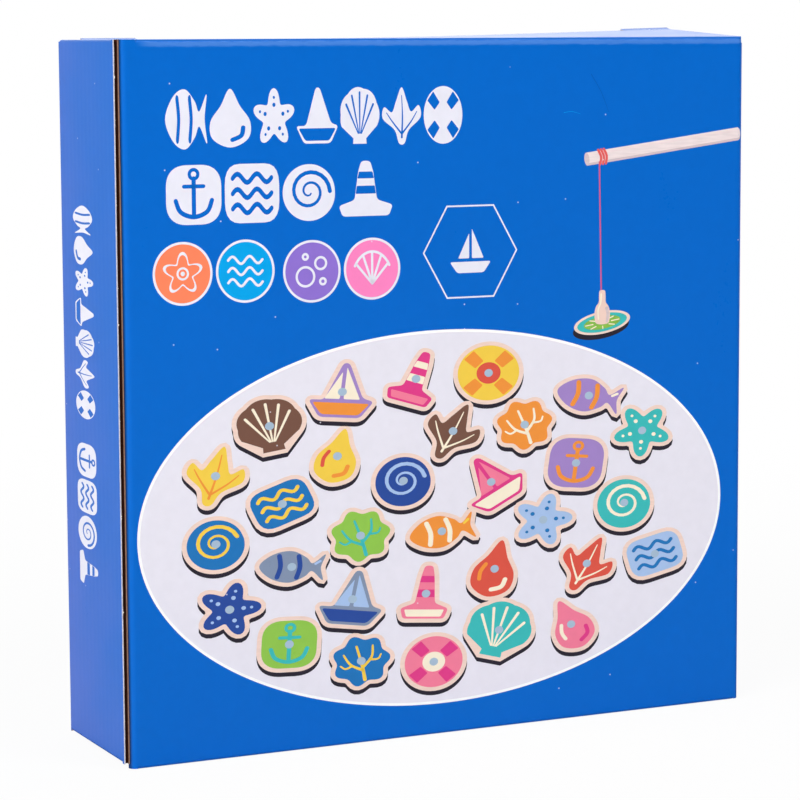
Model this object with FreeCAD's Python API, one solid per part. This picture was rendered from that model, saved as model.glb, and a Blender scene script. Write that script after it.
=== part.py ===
import FreeCAD, Part
import math
import os

# A retail carton for a toy, closed and standing upright. It is die-cut from one sheet of
# fine-fluted board, folded and glued. Lengths are millimetres. The frame has +X to the right
# along the front panel, +Y to the back and +Z up, with its origin under the middle of the box.

# Driving dimensions of the box
width = 217.5
depth = 52.0
height = 220.0

# The board: an outer printed liner, the flutes and an inner liner
outer_liner = 0.4
flute_height = 1.0
inner_liner = 0.4
flute_pitch = 3.5
flute_web = 0.3
cell_depth = 2.5
fold_radius = 2.2
crease_radius = 1.1

# The glued seam at the front left corner
glue_flap_length = 18.0
glue_flap_taper = 5.0
seam_setback = 1.0
raw_edge_depth = 1.1

# The lid, its tuck flap and the slits at the ends of the tuck's crease
lid_inset_left = 6.8
lid_inset_right = 0.4
lid_corner_radius = 2.0
lid_seat_gap = 0.2
lid_lift_angle = 3.2
lid_lift_start = -36.0
lid_lift_ease = 0.25
lid_lift_steps = 6
tuck_length = 14.0
tuck_lean_angle = 12.0
tuck_inset = 3.0
tuck_corner_radius = 9.0
tuck_back_clearance = 0.4
tuck_end_gap = 1.0
slit_length = 18.0
slit_gap = 0.5
tab_curl_angle = 14.0
tab_curl_radius = 15.0

# The two dust flaps under the lid
dust_flap_length = 45.0
dust_flap_front_gap = 0.6
dust_flap_back_gap = 4.9
dust_flap_taper = 4.0
dust_flap_corner_radius = 8.0
dust_flap_dive = 35.0
back_edge_drop = 0.6

# The crash-lock bottom: two outer flaps that hook into each other and two inner flaps
lock_step = 7.0
lock_slope_half_length = 14.0
lock_gap = 0.6
outer_flap_relief = 10.0
inner_flap_length = 38.0
inner_flap_taper = 9.0
corner_foot = 0.2

board = outer_liner + flute_height + inner_liner
sharp = 1e-6
left = -width / 2
right = width / 2
front = -depth / 2
back = depth / 2
seat_height = height - board - lid_seat_gap
side_foot = board
lid_left = left + lid_inset_left
lid_right = right - lid_inset_right
side_flap_front = front + board + dust_flap_front_gap
side_flap_back = back - board - dust_flap_front_gap


def plan(z):
    """Maps a profile's two numbers to a plan at height z."""
    return lambda u, v: FreeCAD.Vector(u, v, z)


def side_view(x):
    """Maps a profile's two numbers to the Y and Z of a section at x."""
    return lambda u, v: FreeCAD.Vector(x, u, v)


def front_view(y):
    """Maps a profile's two numbers to the X and Z of a section at y."""
    return lambda u, v: FreeCAD.Vector(u, y, v)


def board_section(start, heading, inside, moves, place, turn=None):
    """The outline of a folded strip of board, as a closed wire.

    The board is crushed where a crease is tighter than the board is thick, so its hidden faces
    meet there in a mitre.

    The strip's printed face is followed from start, at heading degrees. inside is 1 if the
    board lies to the left of the way and -1 if it lies to the right. A move is ("run", length)
    or ("bend", degrees, radius of the printed face), where a left turn is positive. turn moves
    each point before it is placed, for a section that is rotated about a hinge.
    """
    u, v = start
    angle = math.radians(heading)
    printed, hidden = [], []

    def across(direction):
        return -math.sin(direction) * inside, math.cos(direction) * inside

    def vector(point):
        return place(*(turn(*point) if turn else point))

    def hidden_point(point, direction):
        normal = across(direction)
        return point[0] + board * normal[0], point[1] + board * normal[1]

    def along(point, direction, length):
        return point[0] + length * math.cos(direction), point[1] + length * math.sin(direction)

    def mitre(number):
        move = moves[number] if 0 <= number < len(moves) else ("run", 0.0)
        if move[0] == "run" or move[1] * inside < 0 or move[2] >= board:
            return 0.0
        return (board - move[2]) * math.tan(math.radians(abs(move[1])) / 2)

    first = hidden_point((u, v), angle)
    for number, move in enumerate(moves):
        if move[0] == "run":
            end = along((u, v), angle, move[1])
            printed.append(Part.LineSegment(vector((u, v)), vector(end)).toShape())
            hidden_start = along(hidden_point((u, v), angle), angle, mitre(number - 1))
            hidden_end = along(hidden_point(end, angle), angle, -mitre(number + 1))
            if math.dist(hidden_start, hidden_end) > sharp:
                hidden.append(Part.LineSegment(vector(hidden_start), vector(hidden_end)).toShape())
            u, v = end
        else:
            sweep, radius = math.radians(move[1]), move[2]
            to_centre = radius if move[1] * inside > 0 else -radius
            normal = across(angle)
            centre = (u + to_centre * normal[0], v + to_centre * normal[1])
            points = []
            for share in (0.0, 0.5, 1.0):
                direction = angle + share * sweep
                normal = across(direction)
                points.append(
                    (
                        (centre[0] - to_centre * normal[0], centre[1] - to_centre * normal[1]),
                        direction,
                    )
                )
            printed.append(Part.Arc(*[vector(point) for point, _ in points]).toShape())
            if to_centre < 0 or to_centre > board + sharp:
                hidden.append(Part.Arc(*[vector(hidden_point(*item)) for item in points]).toShape())
            u, v = points[-1][0]
            angle += sweep
    last = hidden_point((u, v), angle)
    start_cap = Part.LineSegment(vector(start), vector(first)).toShape()
    end_cap = Part.LineSegment(vector((u, v)), vector(last)).toShape()
    return Part.Wire(Part.__sortEdges__(printed + [end_cap] + hidden[::-1] + [start_cap]))


def box(x0, x1, y0, y1, z0, z1):
    """A block between two corners."""
    return Part.makeBox(x1 - x0, y1 - y0, z1 - z0, FreeCAD.Vector(x0, y0, z0))


def prism(points, direction):
    """A closed outline of straight edges, extruded along a vector."""
    wire = Part.makePolygon(points + points[:1])
    return Part.Face(wire).extrude(direction)


def flute_cells(length):
    """The open ends of the flutes in a cut edge, as (place along the edge, pocket) pairs.

    A pocket's own X runs along the edge, its Y from the outer liner to the inner one and its Z
    into the board. The pockets stand on either liner by turns, and what is left between them is
    the fluted paper.
    """
    half = flute_pitch / 2
    count = int((length - flute_pitch) / half)
    margin = (length - (count - 1) * half) / 2
    foot = half - flute_web
    crown = flute_height - flute_web / 2
    cells = []
    for i in range(count):
        base, tip = (0.0, crown) if i % 2 else (flute_height, flute_height - crown)
        outline = [
            FreeCAD.Vector(-foot, outer_liner + base, -1),
            FreeCAD.Vector(foot, outer_liner + base, -1),
            FreeCAD.Vector(0, outer_liner + tip, -1),
        ]
        cells.append((margin + i * half, prism(outline, FreeCAD.Vector(0, 0, cell_depth + 1))))
    return cells


def cut_edge(origin, along, across, length, lifted=False):
    """The pockets of a cut edge that starts at origin and runs along one direction.

    across points from the printed face to the hidden one. If lifted, each pocket is turned about
    the lid's crease as the lid is there.
    """
    inward = along.cross(across)
    pockets = []
    for place, pocket in flute_cells(length):
        start = origin + along * place
        pocket.Placement = FreeCAD.Placement(
            FreeCAD.Matrix(
                along.x, across.x, inward.x, start.x,
                along.y, across.y, inward.y, start.y,
                along.z, across.z, inward.z, start.z,
                0, 0, 0, 1,
            )
        )
        if lifted:
            pocket.rotate(
                FreeCAD.Vector(0, front, height), FreeCAD.Vector(1, 0, 0), lift_at(start.x)
            )
        pockets.append(pocket)
    return Part.Compound(pockets)


def corner_cutter(corner, toward, radius, axis_range):
    """What a round corner removes from a flap that lies flat.

    corner is the sharp corner in X and Y, toward the signs that point into the flap.
    """
    z0, z1 = axis_range
    cx, cy = corner
    sx, sy = toward
    block = box(
        min(cx - sx, cx + sx * radius),
        max(cx - sx, cx + sx * radius),
        min(cy - sy, cy + sy * radius),
        max(cy - sy, cy + sy * radius),
        z0,
        z1,
    )
    centre = FreeCAD.Vector(cx + sx * radius, cy + sy * radius, z0)
    return block.cut(Part.makeCylinder(radius, z1 - z0, centre))


# The carton


def wall_loop():
    """Side, back, side and front panels with their upright folds, and the glued seam."""
    base = side_foot
    rise = height - base
    quarter = ("bend", -90.0, fold_radius)
    left_panel = board_section(
        (left, front + seam_setback),
        90.0,
        -1,
        [("run", depth - seam_setback - fold_radius), quarter, ("run", width / 2 - fold_radius)],
        plan(base),
    )
    other_panels = board_section(
        (0.0, back),
        0.0,
        -1,
        [
            ("run", width / 2 - fold_radius),
            quarter,
            ("run", depth - 2 * fold_radius),
            quarter,
            ("run", width - board - 2 * fold_radius),
            quarter,
            ("run", glue_flap_length - fold_radius),
        ],
        plan(base),
    )
    up = FreeCAD.Vector(0, 0, rise)
    walls = Part.Face(left_panel).extrude(up).fuse(Part.Face(other_panels).extrude(up))
    for x, heading in ((left + board + fold_radius, 180.0), (right, 270.0)):
        y = front if heading == 180.0 else front + fold_radius
        corner = board_section((x, y), heading, -1, [quarter], plan(corner_foot))
        foot = Part.Face(corner).extrude(FreeCAD.Vector(0, 0, base - corner_foot))
        walls = walls.fuse(foot)
    flap_end = front + glue_flap_length
    for z, sign in ((base, 1), (height, -1)):
        taper = prism(
            [
                FreeCAD.Vector(left + board, flap_end + 1, z - sign),
                FreeCAD.Vector(left + board, flap_end - glue_flap_taper, z - sign),
                FreeCAD.Vector(left + board, flap_end - glue_flap_taper, z),
                FreeCAD.Vector(left + board, flap_end + 1, z + sign * 2 * glue_flap_taper),
            ],
            FreeCAD.Vector(board + 1, 0, 0),
        )
        walls = walls.cut(taper)
    groove = box(
        left + outer_liner,
        left + outer_liner + flute_height,
        front + seam_setback - 1,
        front + seam_setback + raw_edge_depth,
        0,
        height + 1,
    )
    return walls.cut(groove)


def cut_for_lid(walls):
    """The front panel ends under the lid's crease, and the right side under its end."""
    notch = box(lid_left - lid_seat_gap, right + 1, front - 1, front + board + 1, seat_height, height + 1)
    side = box(right - fold_radius, right + 1, front - 1, back + 1, seat_height, height + 1)
    back_edge = box(left - 1, right + 1, side_flap_back, back + 1, height - back_edge_drop, height + 1)
    return walls.cut(notch).cut(side).cut(back_edge)


def dust_flap(side):
    """A dust flap: the side panel's fold, then the flap under the lid, with its free corners round.

    side is -1 for the left one, whose crease stands flush with the lid and which then dives
    under it, and 1 for the right one, whose crease lies under the lid.
    """
    root = side * width / 2
    if side < 0:
        top = height
        dive = math.radians(dust_flap_dive)
        bends_drop = 2 * crease_radius * (1 - math.cos(dive))
        diving_run = (height - seat_height - bends_drop) / math.sin(dive)
        reach = crease_radius * (1 + 2 * math.sin(dive)) + diving_run * math.cos(dive)
        moves = [
            ("run", board),
            ("bend", -90.0 - dust_flap_dive, crease_radius),
            ("run", diving_run),
            ("bend", dust_flap_dive, crease_radius),
            ("run", dust_flap_length - reach),
        ]
    else:
        top = seat_height
        moves = [
            ("run", board),
            ("bend", 90.0, crease_radius),
            ("run", dust_flap_length - crease_radius),
        ]
    outline = board_section(
        (root, top - crease_radius - board), 90.0, side, moves, front_view(side_flap_front)
    )
    flap = Part.Face(outline).extrude(FreeCAD.Vector(0, side_flap_back - side_flap_front, 0))
    tip = root - side * dust_flap_length
    flap_back = back - dust_flap_back_gap
    low, high = seat_height - board - 1, height + 1
    tuck_end = lid_left + tuck_inset if side < 0 else lid_right - tuck_inset
    shoulder = tuck_end + side * tuck_end_gap
    flap = flap.cut(
        prism(
            [
                FreeCAD.Vector(shoulder, side_flap_back + 1, low),
                FreeCAD.Vector(shoulder, flap_back, low),
                FreeCAD.Vector(tip - side, flap_back - dust_flap_taper, low),
                FreeCAD.Vector(tip - side, side_flap_back + 1, low),
            ],
            FreeCAD.Vector(0, 0, high - low),
        )
    )
    corners = (
        ((tip, side_flap_front), (side, 1)),
        ((tip, flap_back - dust_flap_taper), (side, -1)),
    )
    for corner, toward in corners:
        flap = flap.cut(corner_cutter(corner, toward, dust_flap_corner_radius, (low, high)))
    return flap, top


def add_dust_flaps(walls):
    """Each side panel's top gives way to its fold, and the flap is joined to it."""
    for side in (-1, 1):
        flap, top = dust_flap(side)
        edge = side * width / 2
        gone = box(
            min(edge + side, edge - side * (board + 1)),
            max(edge + side, edge - side * (board + 1)),
            side_flap_front,
            side_flap_back,
            top - crease_radius - board,
            height + 1,
        )
        walls = walls.cut(gone).fuse(flap)
    return walls


def outer_bottom_flap(side):
    """A bottom flap from the front (-1) or back (1) panel, with the hooked edge that locks it.

    Its crease is as long as the panel is wide, and the flap's ends are cut back from there.
    """
    first, last = left + board + fold_radius, right - fold_radius
    root = side * depth / 2
    outline = board_section(
        (root, crease_radius + board),
        -90.0,
        -side,
        [
            ("run", board),
            ("bend", -side * 90.0, crease_radius),
            ("run", depth / 2 + lock_step - crease_radius),
        ],
        side_view(first),
    )
    flap = Part.Face(outline).extrude(FreeCAD.Vector(last - first, 0, 0))
    inner_face, far_face = side * (depth / 2 - board), -side * back
    near_y, far_y = min(inner_face, far_face), max(inner_face, far_face)
    for x0, x1 in ((left, left + outer_flap_relief), (right - outer_flap_relief, right)):
        flap = flap.cut(box(x0, x1, near_y, far_y, -1, board + 1))
    # The lock line crosses the middle: it lies to the back on the left and to the front on the right.
    near, far = -lock_slope_half_length, lock_slope_half_length
    line = [(left - 1, lock_step), (near, lock_step), (far, -lock_step), (right + 1, -lock_step)]
    shift = side * lock_gap / 2
    beyond = -side * (depth / 2 + lock_step)
    points = [FreeCAD.Vector(x, y + shift, -1) for x, y in line]
    points += [FreeCAD.Vector(right + 1, beyond, -1), FreeCAD.Vector(left - 1, beyond, -1)]
    return flap.cut(prism(points, FreeCAD.Vector(0, 0, board + 2)))


def inner_bottom_flap(side):
    """A bottom flap from a side panel, with slanting ends, glued flat on the outer flaps."""
    root = side * width / 2
    outline = board_section(
        (root, side_foot + crease_radius + board),
        -90.0,
        -side,
        [
            ("run", board),
            ("bend", -side * 90.0, crease_radius),
            ("run", inner_flap_length - crease_radius),
        ],
        front_view(side_flap_front),
    )
    flap = Part.Face(outline).extrude(FreeCAD.Vector(0, side_flap_back - side_flap_front, 0))
    tip = root - side * inner_flap_length
    for edge, sign in ((side_flap_front, 1), (side_flap_back, -1)):
        slant = prism(
            [
                FreeCAD.Vector(root - side * board, edge, 0),
                FreeCAD.Vector(tip - side, edge + sign * inner_flap_taper, 0),
                FreeCAD.Vector(tip - side, edge - sign, 0),
                FreeCAD.Vector(root - side * board, edge - sign, 0),
            ],
            FreeCAD.Vector(0, 0, 3 * board),
        )
        flap = flap.cut(slant)
    return flap


def add_bottom(walls):
    """Both pairs of bottom flaps, each in the place of its panel's lower end."""
    for side in (-1, 1):
        edge = side * depth / 2
        walls = walls.cut(
            box(
                left + board + fold_radius,
                right - fold_radius,
                min(edge + side, edge - side * board),
                max(edge + side, edge - side * board),
                corner_foot - 1,
                crease_radius + board,
            )
        )
        walls = walls.fuse(outer_bottom_flap(side))
    for side in (-1, 1):
        edge = side * width / 2
        walls = walls.cut(
            box(
                min(edge + side, edge - side * board),
                max(edge + side, edge - side * board),
                side_flap_front,
                side_flap_back,
                side_foot - 1,
                side_foot + crease_radius + board,
            )
        )
        walls = walls.fuse(inner_bottom_flap(side))
    return walls


def carton():
    """The whole folded and glued body of the box."""
    walls = add_bottom(add_dust_flaps(cut_for_lid(wall_loop())))
    return walls.removeSplitter().cut(carton_flutes())


def carton_flutes():
    """The open flutes in the back panel's top edge and in the ends of the dust flaps."""
    x_way, y_way, down = FreeCAD.Vector(1, 0, 0), FreeCAD.Vector(0, 1, 0), FreeCAD.Vector(0, 0, -1)
    edge_start = FreeCAD.Vector(left + fold_radius, back, height - back_edge_drop)
    edges = [cut_edge(edge_start, x_way, y_way * -1, width - 2 * fold_radius)]
    first = side_flap_front + dust_flap_corner_radius
    last = back - dust_flap_back_gap - dust_flap_taper - dust_flap_corner_radius
    for side, start, along in ((-1, first, y_way), (1, last, y_way * -1)):
        tip = FreeCAD.Vector(side * (width / 2 - dust_flap_length), start, seat_height)
        edges.append(cut_edge(tip, along, down, last - first))
    return edges


# The lid and its tuck flap


def lift_at(x):
    """How far the lid is bowed up about its crease at x, in degrees.

    It lies flat on the left and then rises evenly, after a soft start, to the right end.
    """
    span = lid_right - lid_lift_start
    share = max(0.0, (x - lid_lift_start) / span)
    if share < 2 * lid_lift_ease:
        eased = share**2 / (4 * lid_lift_ease)
    else:
        eased = share - lid_lift_ease
    return lid_lift_angle * eased / (1 - lid_lift_ease)


def lifted_strip(start, heading, moves, stations):
    """A strip of the lid through sections at the given X, each turned about the crease."""
    wires = []
    for x in stations:
        angle = math.radians(lift_at(x))

        def turn(y, z, angle=angle):
            dy, dz = y - front, z - height
            return (
                front + dy * math.cos(angle) - dz * math.sin(angle),
                height + dy * math.sin(angle) + dz * math.cos(angle),
            )

        wires.append(board_section(start, heading, -1, moves, side_view(x), turn))
    return Part.makeLoft(wires, True, True)


def stations_between(x0, x1):
    """Both ends, and the places between them where the lid's lift is sampled."""
    step = (lid_right - lid_lift_start) / lid_lift_steps
    steps = [lid_lift_start + i * step for i in range(lid_lift_steps)]
    return [x0] + [x for x in steps if x0 + 1 < x < x1 - 1] + [x1]


def lid():
    """The lid panel from its crease on the front panel to the tuck flap inside the back panel."""
    crease = [("run", board - crease_radius), ("bend", -90.0, crease_radius)]
    crease_start = (front, height - board)
    tuck_face = back - board - tuck_back_clearance
    flat_length = tuck_face - front - crease_radius - fold_radius
    slit_left, slit_right = lid_left + slit_length, lid_right - slit_length
    tuck_bend = ("bend", -90.0 - tuck_lean_angle, fold_radius)
    middle = lifted_strip(
        crease_start,
        90.0,
        crease + [("run", flat_length), tuck_bend, ("run", tuck_length)],
        stations_between(slit_left, slit_right),
    )
    curl_length = tab_curl_radius * math.sin(math.radians(tab_curl_angle))
    tab_moves = crease + [
        ("run", flat_length + fold_radius - slit_gap - curl_length),
        ("bend", tab_curl_angle, tab_curl_radius),
    ]
    lean = math.radians(tuck_lean_angle)
    tuck_start = (
        tuck_face - fold_radius + fold_radius * math.cos(lean),
        height - fold_radius - fold_radius * math.sin(lean),
    )
    pieces = [middle]
    ends = (
        (lid_left, slit_left, lid_left + tuck_inset, slit_left),
        (slit_right, lid_right, slit_right, lid_right - tuck_inset),
    )
    for tab_from, tab_to, tuck_from, tuck_to in ends:
        pieces.append(lifted_strip(crease_start, 90.0, tab_moves, stations_between(tab_from, tab_to)))
        pieces.append(
            lifted_strip(
                tuck_start,
                -90.0 - tuck_lean_angle,
                [("run", tuck_length)],
                stations_between(tuck_from, tuck_to),
            )
        )
    panel = pieces[0].fuse(pieces[1:])
    panel = round_tuck_corners(round_front_corners(panel)).removeSplitter()
    return panel.cut(lid_flutes(tuck_start))


def lid_flutes(tuck_start):
    """The open flutes in the tuck flap's free edge, and the grooves in the lid's two ends."""
    lean = math.radians(tuck_lean_angle)
    way_down = FreeCAD.Vector(0, -math.sin(lean), -math.cos(lean))
    inward = FreeCAD.Vector(0, -math.cos(lean), math.sin(lean))
    first = lid_left + tuck_inset + tuck_corner_radius
    last = lid_right - tuck_inset - tuck_corner_radius
    free_edge = FreeCAD.Vector(last, *tuck_start) + way_down * tuck_length
    cuts = [cut_edge(free_edge, FreeCAD.Vector(-1, 0, 0), inward, last - first, True)]
    ends = ((lid_left - 1, lid_left + raw_edge_depth), (lid_right - raw_edge_depth, lid_right + 1))
    for x0, x1 in ends:
        top = height - outer_liner
        groove = box(x0, x1, front + board, back, top - flute_height, top)
        groove.rotate(
            FreeCAD.Vector(0, front, height), FreeCAD.Vector(1, 0, 0), lift_at((x0 + x1) / 2)
        )
        cuts.append(groove)
    return cuts


def round_front_corners(panel):
    """The crease's right end is round in plan, like the carton's upright fold below it."""
    cutter = corner_cutter(
        (lid_right, front), (-1, 1), lid_corner_radius, (height - board - 1, height + board)
    )
    return panel.cut(cutter)


def round_tuck_corners(panel):
    """The tuck flap's two free corners are round, so that it slides in behind the back panel."""
    r = tuck_corner_radius
    for end, sign in ((lid_left + tuck_inset, 1), (lid_right - tuck_inset, -1)):
        lift = math.radians(lift_at(end))
        reach = fold_radius + tuck_length * math.cos(math.radians(tuck_lean_angle))
        low = height - reach + (back - front) * math.sin(lift)
        x0, x1 = min(end - sign, end + sign * r), max(end - sign, end + sign * r)
        block = box(x0, x1, 0, back, low - board, low + r)
        bar = Part.makeCylinder(
            r, depth, FreeCAD.Vector(end + sign * r, 0, low + r), FreeCAD.Vector(0, 1, 0)
        )
        panel = panel.cut(block.cut(bar))
    return panel


def main():
    """Writes each piece to its own file."""
    os.makedirs("parts", exist_ok=True)
    for name, shape in (("carton", carton()), ("lid", lid())):
        print(name, "solids", len(shape.Solids), "valid", shape.isValid(), "volume", round(shape.Volume))
        shape.exportStep("parts/" + name + ".step")


main()
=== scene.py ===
import logging
import math
import random
from collections.abc import Callable, Sequence
from dataclasses import dataclass
from enum import Enum

import bpy
from mathutils import Matrix, Vector
from mathutils.bvhtree import BVHTree
from mathutils.geometry import tessellate_polygon


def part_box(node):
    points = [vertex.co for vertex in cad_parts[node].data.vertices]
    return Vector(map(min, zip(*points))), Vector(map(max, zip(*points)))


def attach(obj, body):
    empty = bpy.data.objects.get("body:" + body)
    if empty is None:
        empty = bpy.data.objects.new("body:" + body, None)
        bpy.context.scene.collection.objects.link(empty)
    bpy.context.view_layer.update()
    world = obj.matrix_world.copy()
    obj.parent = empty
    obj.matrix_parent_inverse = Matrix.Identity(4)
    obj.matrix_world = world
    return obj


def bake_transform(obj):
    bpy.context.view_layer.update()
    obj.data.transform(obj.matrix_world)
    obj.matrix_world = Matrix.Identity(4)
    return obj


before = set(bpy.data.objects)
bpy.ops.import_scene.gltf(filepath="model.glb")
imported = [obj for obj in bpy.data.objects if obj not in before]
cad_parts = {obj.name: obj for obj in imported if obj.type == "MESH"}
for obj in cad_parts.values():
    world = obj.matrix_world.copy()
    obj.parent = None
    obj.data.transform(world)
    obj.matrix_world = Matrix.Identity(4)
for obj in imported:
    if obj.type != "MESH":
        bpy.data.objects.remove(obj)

log = logging.getLogger("box")

MM = 0.001
CARTON, LID = "carton", "lid"
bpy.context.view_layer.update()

Point = tuple[float, float]
Loop = list[Point]


@dataclass(frozen=True)
class Board:
    """The fluted board's own sizes in millimetres, as the solids were built from it."""

    outer_liner: float = 0.4
    flute_height: float = 1.0
    inner_liner: float = 0.4
    flute_pitch: float = 3.5
    fold_radius: float = 2.2
    crease_radius: float = 1.1
    lid_corner_radius: float = 2.0
    seam_setback: float = 1.0
    lid_seat_gap: float = 0.2
    slit_length: float = 18.0

    @property
    def thickness(self) -> float:
        """The board's whole thickness."""
        return self.outer_liner + self.flute_height + self.inner_liner


@dataclass(frozen=True)
class BoxFrame:
    """The box's outer planes in millimetres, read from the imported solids."""

    left: float
    right: float
    front: float
    back: float
    height: float
    lid_left: float
    lid_right: float

    @classmethod
    def measured(cls) -> "BoxFrame":
        """Reads the planes from the boxes of the two nodes.

        Returns:
            The frame of this box.
        """
        low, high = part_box(CARTON)
        lid_low, lid_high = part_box(LID)
        return cls(
            left=low.x / MM,
            right=high.x / MM,
            front=low.y / MM,
            back=high.y / MM,
            height=high.z / MM,
            lid_left=lid_low.x / MM,
            lid_right=lid_high.x / MM,
        )

    @property
    def width(self) -> float:
        """The front panel's width."""
        return self.right - self.left

    @property
    def depth(self) -> float:
        """The side panels' width."""
        return self.back - self.front


BOARD = Board()
BOX = BoxFrame.measured()


class Ink(Enum):
    """The printed colours, as hexadecimal sRGB."""

    PANEL_BLUE = "0068CB"
    WHITE = "EBEAF5"
    PURE_WHITE = "FFFFFF"
    OVAL = "EAE7F1"
    ORANGE = "FF875F"
    SKY = "00A5EB"
    PURPLE = "9173D2"
    PINK = "FF87C3"
    YELLOW = "F6CF4C"
    AMBER = "F4963F"
    LEAF = "93C850"
    TEAL = "3FBDBB"
    ICE = "A9C4EA"
    NAVY = "2F4F9E"
    ROSE = "F5809C"
    MAGENTA = "E5408A"
    LILAC = "A487C8"
    COCOA = "7A5648"
    SLATE = "8594AE"
    RED = "E05848"
    AZURE = "2477BC"
    CREAM = "FBEFD6"
    DARK = "2F2B36"
    WOOD = "F3D6C8"
    ROD = "EFDFDE"
    ROD_SHADE = "D8C4C6"
    BEAD = "F2D2C4"
    WRAP = "E9625F"
    THREAD = "D45C86"
    DOT = "A9BFD3"
    SCRATCH = "0053AE"


def linear(code: str) -> tuple[float, float, float, float]:
    """Turns a hexadecimal sRGB colour into the linear one that a shader takes.

    Args:
        code: Six hexadecimal digits.

    Returns:
        Red, green, blue and an alpha of 1.
    """

    def channel(text: str) -> float:
        """One channel by the sRGB curve, from two hexadecimal digits."""
        value = int(text, 16) / 255
        return value / 12.92 if value <= 0.04045 else ((value + 0.055) / 1.055) ** 2.4

    return (channel(code[0:2]), channel(code[2:4]), channel(code[4:6]), 1.0)


class Wire:
    """A node's output, on which Python's operators add Math nodes."""

    def __init__(self, shader: "Shader", socket: bpy.types.NodeSocket) -> None:
        """Holds a socket and the shader that it belongs to."""
        self.shader = shader
        self.socket = socket

    def _with(self, operation: str, *values: "float | Wire", swap: bool = False) -> "Wire":
        """Adds a Math node on this value and others.

        Args:
            operation: The node's operation.
            values: Its further operands.
            swap: Whether the operands are taken in turned order.

        Returns:
            The node's result.
        """
        operands = [self, *values]
        if swap:
            operands.reverse()
        inputs = dict(enumerate(operands))
        return self.shader.add("ShaderNodeMath", {"operation": operation}, inputs)

    def __add__(self, other: "float | Wire") -> "Wire":
        """Adds."""
        return self._with("ADD", other)

    __radd__ = __add__

    def __sub__(self, other: "float | Wire") -> "Wire":
        """Subtracts."""
        return self._with("SUBTRACT", other)

    def __rsub__(self, other: "float | Wire") -> "Wire":
        """Subtracts from a number."""
        return self._with("SUBTRACT", other, swap=True)

    def __mul__(self, other: "float | Wire") -> "Wire":
        """Multiplies, which also joins two masks."""
        return self._with("MULTIPLY", other)

    __rmul__ = __mul__

    def __truediv__(self, other: "float | Wire") -> "Wire":
        """Divides."""
        return self._with("DIVIDE", other)

    def __abs__(self) -> "Wire":
        """The value without its sign."""
        return self._with("ABSOLUTE")

    def __or__(self, other: "Wire") -> "Wire":
        """The larger of two masks."""
        return self._with("MAXIMUM", other)

    def least(self, other: "float | Wire") -> "Wire":
        """The smaller of two values."""
        return self._with("MINIMUM", other)

    def sine(self) -> "Wire":
        """The sine of an angle in radians."""
        return self._with("SINE")

    def root(self) -> "Wire":
        """The square root."""
        return self._with("SQRT")

    def over(self, level: float, soft: float = 0.02) -> "Wire":
        """A mask that rises from 0 to 1 round a level.

        Args:
            level: Where the mask is a half.
            soft: Half the width of the rise.

        Returns:
            The mask.
        """
        settings = {"interpolation_type": "SMOOTHSTEP"}
        return self.shader.add(
            "ShaderNodeMapRange", settings, {0: self, 1: level - soft, 2: level + soft}
        )

    def under(self, level: float, soft: float = 0.02) -> "Wire":
        """A mask that falls from 1 to 0 round a level."""
        return 1.0 - self.over(level, soft)

    def swing(self, amount: float) -> "Wire":
        """Noise about a half, made to swing about zero by plus or minus half an amount."""
        return (self - 0.5) * amount


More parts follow.
